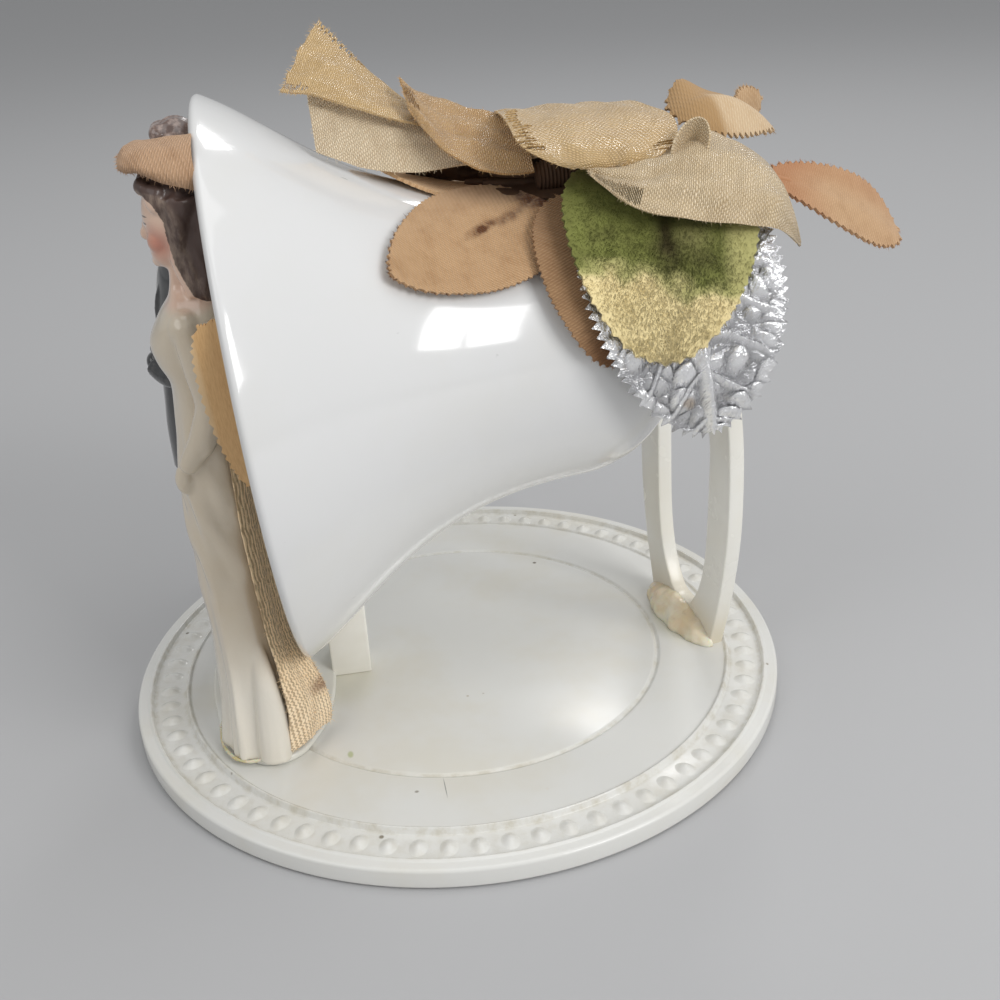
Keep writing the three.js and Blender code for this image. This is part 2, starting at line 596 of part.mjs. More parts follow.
function groomFigure() {
  const leg = [...GROOM_SHIN, ...belowHead(GROOM_HEAD_HEIGHT, GROOM_THIGH)];
  const legs = [-1, 1].flatMap((side) => [leg, GROOM_SHOE].map(
    (rows) => figureLoft(rows.map((row) => [...row, side * GROOM_LEG_SPREAD]), 10)));
  return joined([
    ...legs,
    figureLoft(belowHead(GROOM_HEAD_HEIGHT, GROOM_JACKET)),
    limb(GROOM_ARM, GROOM_HEAD_HEIGHT),
    limb(mirroredArm(GROOM_ARM), GROOM_HEAD_HEIGHT),
    ...head(GROOM_HEAD_HEIGHT, GROOM_HAIR)]);
}

add(groom, 'groom_figure', groomFigure(), 0x1b1b1c, 0.3);

// Headpiece: a stiffened scrap of woven cloth set over the bride's hair, turned up at the front.

function headpiece() {
  const capTop = BRIDE_HEAD_HEIGHT + BRIDE_HAIR.rise + BRIDE_HAIR.thickness + HEAD_HALF_HEIGHT;
  const peakHeight = capTop + GLUE_GAP + CLOTH_THICKNESS + HEADPIECE_PUFF;
  const half = HEAD_HALF_WIDTH + HEADPIECE_OVERHANG;
  const [rows, columns] = HEADPIECE_STEPS;
  return sheet(Array.from({ length: rows + 1 }, (unused, row) => {
    const along = row / rows;
    const y = THREE.MathUtils.lerp(HEADPIECE_BACK, -HEADPIECE_FRONT, along);
    const peak = peakHeight - HEADPIECE_ARCH * (1.5 * along - 0.45) ** 2;
    const narrow = 1 - 0.5 * along ** 3;
    const droop = HEADPIECE_DROOP * (1 - along) + HEADPIECE_TIP_DROOP;
    return Array.from({ length: columns + 1 }, (ignored, column) => {
      const across = column / columns * 2 - 1;
      return new THREE.Vector3(across * half * narrow, y, peak - droop * across * across);
    });
  }), CLOTH_THICKNESS);
}

add(bride, 'bride_headpiece', headpiece(), TAN, 0.9);

// Veil: a strip of lace that falls down the bride's back in soft folds and spreads on the plinth.

function veil() {
  const line = [...belowHead(BRIDE_HEAD_HEIGHT, VEIL_FALL), ...VEIL_FOOT];
  const fall = new THREE.SplineCurve(line.map(([height, back]) => new THREE.Vector2(back, height)));
  const [rows, columns] = VEIL_STEPS;
  return sheet(Array.from({ length: rows + 1 }, (unused, row) => {
    const along = row / rows;
    const place = fall.getPoint(along);
    const half = VEIL_WIDTH / 2 * THREE.MathUtils.lerp(VEIL_TOP_SHARE, 1, along);
    return Array.from({ length: columns + 1 }, (ignored, column) => {
      const across = column / columns * 2 - 1;
      const fold = VEIL_FOLD_DEPTH * (0.4 + along) * Math.sin(across * VEIL_FOLDS * Math.PI);
      const back = place.x + fold + GLUE_GAP - VEIL_EDGE_WRAP * across * across;
      return new THREE.Vector3(half * across + VEIL_SHIFT, back, place.y);
    });
  }), CLOTH_THICKNESS);
}

add(bride, 'bride_veil', veil(), 0xb59a72, 0.95);

// Leaves: cut cloth blades on short stems. A place function turns distances along and across the
// leaf, and a lift off its bed, into a point.

function onBell(station, turn, heading) {
  const [ahead, aside] = [Math.cos(radians(heading)), Math.sin(radians(heading))];
  return (along, across, lift) => {
    const here = station + along * ahead - across * aside;
    const reach = flareRadius(THREE.MathUtils.clamp(here, 0, BELL_FLARE_LENGTH)) + lift;
    const arc = along * aside + across * ahead;
    return bellPoint(here, turn + THREE.MathUtils.radToDeg(arc / reach), lift);
  };
}

function inAir(root, towards, facing) {
  const ahead = towards.clone().sub(root).normalize();
  const side = facing.clone().cross(ahead).normalize();
  const normal = ahead.clone().cross(side);
  return (along, across, lift) => root.clone()
    .addScaledVector(ahead, along)
    .addScaledVector(side, across)
    .addScaledVector(normal, lift);
}

// The blade's half width swells and rounds off between the end of its petiole and its tip. Lift goes
// through root, middle and tip, and cup raises the edges.
function leaf(shape) {
  const { place, length, width, petiole, lift, rows = 12 } = shape;
  const { cup = 0, belly = 0.8, blunt = 0.5, teeth = 0 } = shape;
  const [rootLift, middleLift, tipLift] = lift;
  return sheet(Array.from({ length: rows + 1 }, (unused, row) => {
    const along = row / rows;
    const distance = along * length;
    const blade = THREE.MathUtils.clamp((distance - petiole) / (length - petiole), 0, 1);
    const rounded = Math.sin(Math.PI * blade ** belly) ** blunt;
    const tooth = row % 2 && blade > 0 ? teeth : 0;
    const half = Math.max(PETIOLE_WIDTH / 2, width / 2 * rounded + tooth);
    const bend = (1 - along) * ((1 - 2 * along) * rootLift + 4 * along * middleLift)
      + along * (2 * along - 1) * tipLift;
    return [-1, -0.6, -0.2, 0.2, 0.6, 1].map((across) => place(
      distance, across * half, bend + cup * (across * half / (width / 2)) ** 2));
  }), CLOTH_THICKNESS);
}

const bindingHalf = (BINDING_RADIUS + 2 * GLUE_GAP) / BELL_WAIST_RADIUS;
const bindingEdge = BINDING_TURN + THREE.MathUtils.radToDeg(bindingHalf);
const bindingEnd = BINDING_START + BINDING_LENGTH;

function binding() {
  const rings = [0, 0.5, 1].map((along) => {
    const centre = bellPoint(BINDING_START + along * BINDING_LENGTH, BINDING_TURN, BINDING_RADIUS + GLUE_GAP);
    const side = bellAxis.clone().cross(centre.clone().sub(bellMouth)).normalize();
    const out = side.clone().cross(bellAxis);
    return Array.from({ length: BINDING_STEPS }, (unused, step) => {
      const angle = step / BINDING_STEPS * 2 * Math.PI;
      return centre.clone()
        .addScaledVector(out, BINDING_RADIUS * Math.cos(angle))
        .addScaledVector(side, BINDING_RADIUS * Math.sin(angle));
    });
  });
  return loft(rings);
}

add(topper, 'spray_binding', binding(), 0x5b4a32, 0.8);

function laidLeaf({ station, turn, heading, ...shape }) {
  return leaf({ place: onBell(station, bindingEdge + turn, heading), ...shape });
}

add(topper, 'leaf_near', laidLeaf(NEAR_LEAF), TAN, 0.75);
add(topper, 'leaf_top', laidLeaf(TOP_LEAF), TAN, 0.75);
add(topper, 'leaf_hanging', laidLeaf(HANGING_LEAF), TAN, 0.75);
add(topper, 'leaf_foil', laidLeaf(FOIL_LEAF), 0xc2c4c8, 0.25, 1);
add(topper, 'leaf_velvet', laidLeaf(VELVET_LEAF), 0x7f8a3c, 0.95);

// The wired leaves leave the end of the binding side by side, and their stems can be bent.
function stemRoot(place) {
  return bellPoint(
    bindingEnd + 2 * GLUE_GAP, BINDING_TURN + place * STEM_SPREAD, BINDING_RADIUS + GLUE_GAP);
}

function freeLeaf(root, { reach, facing, ...shape }) {
  const span = new THREE.Vector3(...reach);
  const place = inAir(root, root.clone().add(span), new THREE.Vector3(...facing));
  return leaf({ place, length: span.length(), ...shape });
}

add(topper, 'leaf_rear', freeLeaf(stemRoot(0.5), REAR_LEAF), 0xc08a68, 0.75);
add(topper, 'leaf_high', freeLeaf(stemRoot(-0.5), HIGH_LEAF), TAN, 0.75);
add(topper, 'leaf_small', freeLeaf(stemRoot(-1.5), SMALL_LEAF), TAN, 0.75);

// A leaf glued inside the lip beside the bride hangs in front of the mouth.
const sideRoot = bellPoint(
  -BELL_LIP_BEAD - GLUE_GAP - PETIOLE_WIDTH / 2, SIDE_LEAF_TURN, -BELL_WALL - 2 * GLUE_GAP);
add(topper, 'leaf_side', freeLeaf(sideRoot, SIDE_LEAF), 0xc79a63, 0.8);

// Ribbon: one length tied in a bow over the stems, as stretches between two edge curves.

function ribbon(rows, steps) {
  const edge = (first) => new THREE.CatmullRomCurve3(
    rows.map((row) => bellPoint(...row.slice(first, first + 3))));
  const [left, right] = [edge(0), edge(3)];
  return sheet(Array.from({ length: steps + 1 }, (unused, row) => {
    const along = row / steps;
    const [from, to] = [left.getPoint(along), right.getPoint(along)];
    const place = along * (rows.length - 1);
    const before = Math.min(Math.floor(place), rows.length - 2);
    const bow = THREE.MathUtils.lerp(rows[before][6], rows[before + 1][6], place - before);
    const out = from.clone().lerp(to, 0.5).sub(bellMouth).projectOnPlane(bellAxis).normalize();
    return [0, 0.25, 0.5, 0.75, 1].map((across) => from.clone().lerp(to, across)
      .addScaledVector(out, bow * 4 * across * (1 - across)));
  }), RIBBON_THICKNESS);
}

add(topper, 'ribbon_tail_upper', ribbon(UPPER_TAIL, 14), GOLD, 0.5);
add(topper, 'ribbon_tail_lower', ribbon(LOWER_TAIL, 14), 0xd8c79c, 0.6);
add(topper, 'ribbon_fold', ribbon(FOLD, 10), GOLD, 0.5);
add(topper, 'ribbon_loop', ribbon(LOOP, 16), GOLD, 0.5);
add(topper, 'ribbon_tail_rear', ribbon(REAR_TAIL, 18), GOLD, 0.5);

export default topper;
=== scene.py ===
"""Wedding cake topper: a beaded base, a bell on its side, a painted couple and a spray of leaves."""

import math
import random

import bpy
from mathutils import Euler, Matrix, Quaternion, Vector, noise


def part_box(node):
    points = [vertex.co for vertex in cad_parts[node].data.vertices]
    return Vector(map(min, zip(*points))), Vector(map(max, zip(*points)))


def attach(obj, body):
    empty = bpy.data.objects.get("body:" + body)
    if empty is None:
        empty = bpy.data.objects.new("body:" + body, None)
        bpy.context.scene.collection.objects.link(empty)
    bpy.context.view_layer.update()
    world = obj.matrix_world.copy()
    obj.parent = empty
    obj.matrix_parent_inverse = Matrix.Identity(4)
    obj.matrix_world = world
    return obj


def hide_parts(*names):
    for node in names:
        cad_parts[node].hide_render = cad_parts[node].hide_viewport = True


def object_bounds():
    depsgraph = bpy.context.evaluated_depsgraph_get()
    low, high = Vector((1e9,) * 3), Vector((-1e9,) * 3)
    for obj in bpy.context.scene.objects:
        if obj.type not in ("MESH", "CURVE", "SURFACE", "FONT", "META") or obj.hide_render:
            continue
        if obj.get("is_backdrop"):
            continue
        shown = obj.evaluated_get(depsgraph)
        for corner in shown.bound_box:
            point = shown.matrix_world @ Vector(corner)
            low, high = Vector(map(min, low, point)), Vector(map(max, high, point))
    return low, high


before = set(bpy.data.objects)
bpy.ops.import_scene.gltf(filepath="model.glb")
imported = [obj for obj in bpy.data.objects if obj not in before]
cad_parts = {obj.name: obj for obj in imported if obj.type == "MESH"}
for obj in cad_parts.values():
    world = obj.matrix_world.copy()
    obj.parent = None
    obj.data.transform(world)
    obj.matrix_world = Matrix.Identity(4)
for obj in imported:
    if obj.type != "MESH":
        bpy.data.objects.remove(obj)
cad_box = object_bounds()


# Studio
# A pale floor, two window-like strips to the right of the camera, softboxes overhead and to the left, and
# a small one behind the bell, in a dim pale room. The camera stands where the picture was taken from.
MM = 0.001
FLOOR_GREY = (0.5, 0.5, 0.505, 1)
CAMERA_PLACE = Vector((148.3, -15.6, 100.4)) * MM
CAMERA_AHEAD = Vector((-0.884, 0.137, -0.447))
CAMERA_ROLL = -3.37
CAMERA_LENS = 44.15
SOFTBOXES = {
    # name: azimuth from +X, elevation, distance, width, height, watts
    "window_left": (31, 29, 0.6, 0.13, 0.24, 0.8),
    "window_right": (46, 29, 0.6, 0.13, 0.24, 0.8),
    "ceiling": (70, 80, 0.75, 0.7, 0.6, 1.3),
    "rear": (157, 42, 0.6, 0.1, 0.08, 0.35),
    "front": (-62, 40, 0.8, 0.5, 0.4, 0.9),
}


def feed(tree, node, sockets):
    """Sets a node's inputs; sockets maps their names or numbers to values or to other nodes' outputs."""
    for name, value in sockets.items():
        if isinstance(value, bpy.types.NodeSocket):
            tree.links.new(value, node.inputs[name])
        else:
            node.inputs[name].default_value = value


def put(tree, kind, sockets=None, **settings):
    """Adds a node with its settings and inputs."""
    made = tree.nodes.new(kind)
    for name, value in settings.items():
        setattr(made, name, value)
    feed(tree, made, sockets or {})
    return made


def new_material(name):
    """A material with an empty tree, its output and a Principled BSDF."""
    material = bpy.data.materials.new(name)
    material.use_nodes = True
    tree = material.node_tree
    tree.nodes.clear()
    shader = put(tree, "ShaderNodeBsdfPrincipled")
    put(tree, "ShaderNodeOutputMaterial", {"Surface": shader.outputs["BSDF"]})
    return material, tree, shader


scene = bpy.context.scene
scene.view_settings.view_transform = "Standard"
camera = bpy.data.objects.new("camera", bpy.data.cameras.new("camera"))
camera.data.sensor_width = 36
camera.data.lens = CAMERA_LENS
camera.data.clip_start = 0.01
camera.location = CAMERA_PLACE
camera.rotation_mode = "QUATERNION"
roll = Quaternion((0, 0, 1), math.radians(CAMERA_ROLL))
camera.rotation_quaternion = CAMERA_AHEAD.to_track_quat("-Z", "Y") @ roll
scene.collection.objects.link(camera)
scene.camera = camera

for name, (azimuth, elevation, distance, width, height, watts) in SOFTBOXES.items():
    lamp = bpy.data.lights.new(name, "AREA")
    lamp.shape = "RECTANGLE"
    lamp.size = width
    lamp.size_y = height
    lamp.energy = watts
    softbox = bpy.data.objects.new(name, lamp)
    aim = Euler((0, -math.radians(elevation), math.radians(azimuth))).to_matrix() @ Vector((1, 0, 0))
    softbox.location = Vector((0, 0, 45 * MM)) + aim * distance
    softbox.rotation_euler = aim.to_track_quat("Z", "Y").to_euler()
    scene.collection.objects.link(softbox)

world = bpy.data.worlds.new("room")
world.use_nodes = True
world.node_tree.nodes["Background"].inputs["Color"].default_value = (0.4, 0.405, 0.41, 1)
scene.world = world

bpy.ops.object.select_all(action="DESELECT")
bpy.ops.mesh.primitive_plane_add(size=6, location=(0, 0, -0.2 * MM))
floor = bpy.context.object
floor.name = "floor"
material, tree, shader = new_material("floor_paper")
feed(tree, shader, {"Base Color": FLOOR_GREY, "Roughness": 0.9})
floor.data.materials.append(material)
floor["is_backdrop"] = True


# Base plate
# One white plastic moulding, yellowed a little: a flat disc with a rounded rim and a shallow channel of
# oval beads between two fine lines, and a scored ring on its deck. It stands on its flat underside.
EDGE_ROUND = 0.45 * MM
RIM_LIP = 1.9 * MM
CHANNEL_WIDTH = 4.8 * MM
CHANNEL_DEPTH = 0.5 * MM
CHANNEL_SLOPE = 0.25 * MM
LINE_WIDTH = 0.5 * MM
LINE_HEIGHT = 0.32 * MM
RIM_LINE_HEIGHT = 0.2 * MM
RING_RADIUS = 28.5 * MM
RING_HALF_WIDTH = 0.45 * MM
RING_DEPTH = 0.28 * MM
BEAD_COUNT = 72
BEAD_HALF = Vector((1.6, 1.25, 0.62)) * MM
PLASTIC_WHITE = (0.79, 0.785, 0.75, 1)
PLASTIC_AGED = (0.73, 0.69, 0.58, 1)
base_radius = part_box("base_plate")[1].x
base_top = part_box("figure_plinth")[0].z


def pick(piece, kind, test):
    """Goes into edit mode with only the faces or edges selected that pass the test."""
    bpy.ops.object.mode_set(mode="EDIT")
    bpy.ops.mesh.select_mode(type=kind)
    bpy.ops.mesh.select_all(action="DESELECT")
    bpy.ops.object.mode_set(mode="OBJECT")
    for part in piece.data.polygons if kind == "FACE" else piece.data.edges:
        part.select = test(part)
    bpy.ops.object.mode_set(mode="EDIT")


def use_only(piece):
    """Makes one object the selected and active one."""
    bpy.ops.object.select_all(action="DESELECT")
    piece.select_set(True)
    bpy.context.view_layer.objects.active = piece


def settle(piece):
    """Moves an object's place, turn and size into its mesh."""
    use_only(piece)
    bpy.ops.object.transform_apply(location=True, rotation=True, scale=True)


def finish_with(piece, kind, **settings):
    """Adds a modifier to an object and applies it."""
    use_only(piece)
    modifier = piece.modifiers.new(kind.lower(), kind)
    for name, value in settings.items():
        setattr(modifier, name, value)
    bpy.ops.object.modifier_apply(modifier=modifier.name)


def smooth(piece, degrees=35):
    use_only(piece)
    bpy.ops.object.shade_smooth_by_angle(angle=math.radians(degrees))


def joined(pieces):
    """Joins objects into the first one."""
    use_only(pieces[0])
    for piece in pieces[1:]:
        piece.select_set(True)
    bpy.ops.object.join()
    return pieces[0]


def fit(piece, material, body="topper", nodes=()):
    """Gives a finished piece its material and its body, and hides the CAD nodes it replaces."""
    piece.data.materials.clear()
    piece.data.materials.append(material)
    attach(piece, body)
    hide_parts(*nodes)


bpy.ops.object.select_all(action="DESELECT")
bpy.ops.mesh.primitive_cylinder_add(
    vertices=192, radius=base_radius, depth=base_top, location=(0, 0, base_top / 2))
base_plate = bpy.context.object
base_plate.name = "base_plate_moulding"
settle(base_plate)
pick(base_plate, "EDGE", lambda edge: all(
    abs(base_plate.data.vertices[index].co.z - base_plate.data.vertices[edge.vertices[0]].co.z) < 1e-6
    for index in edge.vertices))
bpy.ops.mesh.bevel(offset=EDGE_ROUND, segments=6, affect="EDGES")
pick(base_plate, "FACE", lambda face: face.normal.z > 0.99 and face.area > base_radius ** 2)
floor_width = CHANNEL_WIDTH - 2 * CHANNEL_SLOPE
line_radius = base_radius - RIM_LIP - CHANNEL_WIDTH - LINE_WIDTH
for thickness, depth in (
        (RIM_LIP - EDGE_ROUND - LINE_WIDTH, 0), (LINE_WIDTH / 2, RIM_LINE_HEIGHT), (LINE_WIDTH / 2, 0),
        (CHANNEL_SLOPE, -CHANNEL_DEPTH - RIM_LINE_HEIGHT), (floor_width, 0),
        (CHANNEL_SLOPE, CHANNEL_DEPTH + LINE_HEIGHT), (LINE_WIDTH / 2, 0), (LINE_WIDTH / 2, -LINE_HEIGHT),
        (line_radius - RING_RADIUS - RING_HALF_WIDTH, 0), (RING_HALF_WIDTH, -RING_DEPTH),
        (RING_HALF_WIDTH, RING_DEPTH)):
    bpy.ops.mesh.inset(thickness=thickness, depth=depth)
bpy.ops.object.mode_set(mode="OBJECT")
finish_with(
    base_plate, "BEVEL", width=0.14 * MM, segments=3, limit_method="ANGLE", angle_limit=math.radians(20))

bpy.ops.object.select_all(action="DESELECT")
bpy.ops.mesh.primitive_uv_sphere_add(segments=20, ring_count=12, radius=1)
bead = bpy.context.object
bpy.ops.object.mode_set(mode="EDIT")
bpy.ops.mesh.select_all(action="SELECT")
bpy.ops.mesh.bisect(plane_co=(0, 0, 0), plane_no=(0, 0, 1), use_fill=True, clear_inner=True)
bpy.ops.object.mode_set(mode="OBJECT")
for vertex in bead.data.vertices:
    vertex.co.z = max(0, 1 - vertex.co.x ** 2 - vertex.co.y ** 2) ** 2
bead.scale = BEAD_HALF
bead_radius = base_radius - RIM_LIP - CHANNEL_WIDTH / 2
bead.location = (bead_radius, 0, base_top - CHANNEL_DEPTH - 0.02 * MM)
settle(bead)
beads = [bead]
for index in range(1, BEAD_COUNT):
    copy = bead.copy()
    copy.data = bead.data.copy()
    copy.data.transform(Matrix.Rotation(index / BEAD_COUNT * math.tau, 4, "Z"))
    scene.collection.objects.link(copy)
    beads.append(copy)
joined([base_plate, *beads])
smooth(base_plate, 40)


def new_group(name, inputs, outputs):
    """A shader node group with named sockets; returns it, its inputs as outputs, and its output node."""
    group = bpy.data.node_groups.new(name, "ShaderNodeTree")
    for label, kind, value in inputs:
        socket = group.interface.new_socket(label, in_out="INPUT", socket_type=kind)
        if value is not None:
            socket.default_value = value
    for label, kind in outputs:
        group.interface.new_socket(label, in_out="OUTPUT", socket_type=kind)
    return group, put(group, "NodeGroupInput").outputs, put(group, "NodeGroupOutput")


def place_group(tree, group, sockets):
    return put(tree, "ShaderNodeGroup", sockets, node_tree=group).outputs


def math_node(tree, operation, first, second=None, clamp=False):
    sockets = {0: first} if second is None else {0: first, 1: second}
    return put(tree, "ShaderNodeMath", sockets, operation=operation, use_clamp=clamp).outputs[0]


def times(tree, first, second, clamp=False):
    return math_node(tree, "MULTIPLY", first, second, clamp)


def plus(tree, first, second, clamp=False):
    return math_node(tree, "ADD", first, second, clamp)


def one_minus(tree, value):
    return math_node(tree, "SUBTRACT", 1, value)


def band(tree, value, low, high):
    """0 below low and 1 above high, with a smooth step between them."""
    return put(tree, "ShaderNodeMapRange", {"Value": value, "From Min": low, "From Max": high},
               interpolation_type="SMOOTHSTEP").outputs["Result"]


def mixed(tree, factor, first, second, blend="MIX"):
    sockets = {0: factor, 6: first, 7: second}
    return put(tree, "ShaderNodeMix", sockets, data_type="RGBA", blend_type=blend).outputs[2]


def spread(tree, value, low, high):
    """Maps 0 to 1 onto low to high."""
    sockets = {"Value": value, "To Min": low, "To Max": high}
    return put(tree, "ShaderNodeMapRange", sockets).outputs["Result"]


def vector_node(tree, operation, first, second=None):
    sockets = {0: first} if second is None else {0: first, 1: second}
    return put(tree, "ShaderNodeVectorMath", sockets, operation=operation).outputs


def object_place(tree):
    return put(tree, "ShaderNodeTexCoord").outputs["Object"]


def noise_node(tree, vector, scale, detail=2, roughness=0.5):
    return put(tree, "ShaderNodeTexNoise", {
        "Vector": vector, "Scale": scale, "Detail": detail, "Roughness": roughness}).outputs["Fac"]


def bumped(tree, shader, strength, distance, height):
    """Gives a shader the normal of a relief of so many metres."""
    sockets = {"Strength": strength, "Distance": distance, "Height": height}
    feed(tree, shader, {"Normal": put(tree, "ShaderNodeBump", sockets).outputs["Normal"]})


def three_of(tree, vector):
    """A vector's X, Y and Z."""
    return put(tree, "ShaderNodeSeparateXYZ", {"Vector": vector}).outputs


# Moulded plastic that has stood about: yellowed in patches, with specks of dust and dirt and a slight
# unevenness in its gloss.
plastic_age, given, result = new_group(
    "plastic_age",
    [("Place", "NodeSocketVector", None), ("Clean", "NodeSocketColor", PLASTIC_WHITE),
     ("Aged", "NodeSocketColor", PLASTIC_AGED), ("Ageing", "NodeSocketFloat", 0.5),
     ("Specks", "NodeSocketFloat", 0.06), ("Gloss Roughness", "NodeSocketFloat", 0.2)],
    [("Color", "NodeSocketColor"), ("Roughness", "NodeSocketFloat"), ("Height", "NodeSocketFloat")])
patches = band(plastic_age, noise_node(plastic_age, given["Place"], 55, 4, 0.6), 0.42, 0.75)
patches = times(plastic_age, patches, given["Ageing"])
tinted = mixed(plastic_age, patches, given["Clean"], given["Aged"])
cells = put(plastic_age, "ShaderNodeTexVoronoi", {"Vector": given["Place"], "Scale": 330}).outputs
lot = put(plastic_age, "ShaderNodeSeparateColor", {"Color": cells["Color"]}).outputs
chosen = math_node(plastic_age, "LESS_THAN", lot["Red"], given["Specks"])
near = one_minus(plastic_age, band(plastic_age, cells["Distance"], 0.06, 0.13))
speck = times(plastic_age, chosen, near)
speck_colour = mixed(plastic_age, lot["Green"], (0.16, 0.14, 0.11, 1), (0.55, 0.5, 0.4, 1))
plastic_age.links.new(mixed(plastic_age, speck, tinted, speck_colour), result.inputs["Color"])
haze = noise_node(plastic_age, given["Place"], 140, 3, 0.55)
haze = spread(plastic_age, haze, -0.06, 0.1)
dull = times(plastic_age, speck, 0.4)
gloss = plus(plastic_age, given["Gloss Roughness"], haze)
plastic_age.links.new(plus(plastic_age, gloss, dull, clamp=True), result.inputs["Roughness"])
swell = noise_node(plastic_age, given["Place"], 90, 1)
plastic_age.links.new(plus(plastic_age, swell, speck), result.inputs["Height"])


def plastic(name, clean, aged, ageing, specks, gloss, coat=0.0):
    """A plastic material, with the colour left open so that a piece can add its own stains."""
    material, tree, shader = new_material(name)
    place = object_place(tree)
    look = place_group(tree, plastic_age, {
        "Place": place, "Clean": clean, "Aged": aged, "Ageing": ageing, "Specks": specks,
        "Gloss Roughness": gloss})
    feed(tree, shader, {"Base Color": look["Color"], "Roughness": look["Roughness"]})
    bumped(tree, shader, 0.12, 0.25 * MM, look["Height"])
    feed(tree, shader, {"IOR": 1.52, "Coat Weight": coat, "Coat Roughness": 0.06})
    return material, tree, shader, place, look["Color"]


material, tree, shader, place, colour = plastic(
    "base_plastic", PLASTIC_WHITE, PLASTIC_AGED, 0.55, 0.05, 0.2)
split = three_of(tree, place)
flat = put(tree, "ShaderNodeCombineXYZ", {"X": split["X"], "Y": split["Y"]}).outputs["Vector"]
radius = vector_node(tree, "LENGTH", flat)["Value"]
grime = noise_node(tree, place, 420, 4, 0.65)


def stain_and_shade(tree, colour, stain, mask, strength):
    """Lays a colour over another where the mask is, at a share of its strength: stains, spots of paint,
    painted shade.
    """
    return mixed(tree, times(tree, mask, strength), colour, stain)


def ring_mask(tree, radius, centre, half_width):
    off = math_node(tree, "ABSOLUTE", math_node(tree, "SUBTRACT", radius, centre))
    return one_minus(tree, band(tree, off, half_width * 0.3, half_width))


for centre, half_width, strength in (
        (base_radius - RIM_LIP - CHANNEL_SLOPE, 0.7 * MM, 0.5), (line_radius + LINE_WIDTH, 0.8 * MM, 0.6),
        (bead_radius, 2.6 * MM, 0.3), (RING_RADIUS, 0.5 * MM, 0.6)):
    mask = times(tree, ring_mask(tree, radius, centre, half_width), band(tree, grime, 0.35, 0.75))
    colour = stain_and_shade(tree, colour, (0.52, 0.47, 0.35, 1), mask, strength)

# A spot of paint with a soft edge: a mask over an ellipsoid.
paint_spot, given, result = new_group(
    "paint_spot",
    [("Place", "NodeSocketVector", None), ("Centre", "NodeSocketVector", None),
     ("Half", "NodeSocketVector", (1, 1, 1)), ("Soft", "NodeSocketFloat", 0.3)],
    [("Mask", "NodeSocketFloat")])
away = vector_node(paint_spot, "SUBTRACT", given["Place"], given["Centre"])["Vector"]
away = vector_node(paint_spot, "DIVIDE", away, given["Half"])["Vector"]
reach = vector_node(paint_spot, "LENGTH", away)["Value"]
edge = band(paint_spot, reach, one_minus(paint_spot, given["Soft"]), 1.0)
paint_spot.links.new(one_minus(paint_spot, edge), result.inputs["Mask"])


def spot_mask(tree, place, centre, half, soft):
    sockets = {"Place": place, "Centre": centre, "Half": half, "Soft": soft}
    return place_group(tree, paint_spot, sockets)["Mask"]


def painted(tree, colour, paint, place, centre, half, soft, strength=1.0):
    """Lays a spot of paint over a colour."""
    return stain_and_shade(tree, colour, paint, spot_mask(tree, place, centre, half, soft), strength)


for stain, centre, half, strength in (
        ((0.42, 0.47, 0.2, 1), (20.9, -17, 2.7), (0.9, 0.5, 1), 0.7),
        ((0.2, 0.19, 0.17, 1), (30.2, -6.1, 2.7), (2.4, 0.09, 1), 0.7),
        ((0.3, 0.27, 0.22, 1), (30.1, -9.6, 2.7), (0.3, 0.35, 1), 0.8),
        ((0.55, 0.53, 0.34, 1), (1, 32, 2.7), (9, 4, 2), 0.35),
        ((0.6, 0.57, 0.42, 1), (5, -16, 2.7), (7, 5, 2), 0.4)):
    colour = painted(tree, colour, stain, place, Vector(centre) * MM, Vector(half) * MM, 0.6, strength)
feed(tree, shader, {"Base Color": colour})
fit(base_plate, material, nodes=["base_plate"])


# Bell
# A thin flared shell of glossy white plastic, lying on its side, with a rounded lip. A stud moulded on its
# crown sits in the bracket's ring.
MOUTH_PLACE = Vector((0, -22.2, 46.11)) * MM
BELL_TILT = math.radians(4.1)
MOUTH_RADIUS = 35.2 * MM
WAIST_RADIUS = 18.9 * MM
FLARE_LENGTH = 38.25 * MM
SHOULDER_LENGTH = 16.4 * MM
LIP_REACH = 9.5 * MM
LIP_FALL = 5 * MM
WAIST_REACH = 22.25 * MM
BELL_WALL = 1.5 * MM
LIP_BEAD = 0.4 * MM
STUD_RADIUS = 3 * MM
STUD_LENGTH = 4 * MM
ROUND_HANDLE = 0.5523
bell_length = FLARE_LENGTH + SHOULDER_LENGTH

bpy.ops.object.select_all(action="DESELECT")
bpy.ops.curve.primitive_bezier_curve_add()
bell = bpy.context.object
bell.name = "bell_shell"
bell.data.resolution_u = 28
points = bell.data.splines[0].bezier_points
points.add(1)
for point, place, before, after in zip(
        points,
        [(MOUTH_RADIUS, -LIP_BEAD), (WAIST_RADIUS, FLARE_LENGTH), (0, bell_length)],
        [(MOUTH_RADIUS, -LIP_REACH), (WAIST_RADIUS, FLARE_LENGTH - WAIST_REACH),
         (WAIST_RADIUS * ROUND_HANDLE, bell_length)],
        [(MOUTH_RADIUS - LIP_FALL, LIP_REACH),
         (WAIST_RADIUS, FLARE_LENGTH + SHOULDER_LENGTH * ROUND_HANDLE), (0, bell_length)]):
    point.handle_left_type = point.handle_right_type = "FREE"
    point.co = (*place, 0)
    point.handle_left = (*before, 0)
    point.handle_right = (*after, 0)
bpy.ops.object.convert(target="MESH")
bpy.ops.object.mode_set(mode="EDIT")
bpy.ops.mesh.select_all(action="SELECT")
bpy.ops.mesh.spin(steps=160, angle=math.tau, center=(0, 0, 0), axis=(0, 1, 0))
bpy.ops.mesh.select_all(action="SELECT")
bpy.ops.mesh.remove_doubles(threshold=0.01 * MM)
bpy.ops.mesh.normals_make_consistent(inside=False)
bpy.ops.object.mode_set(mode="OBJECT")
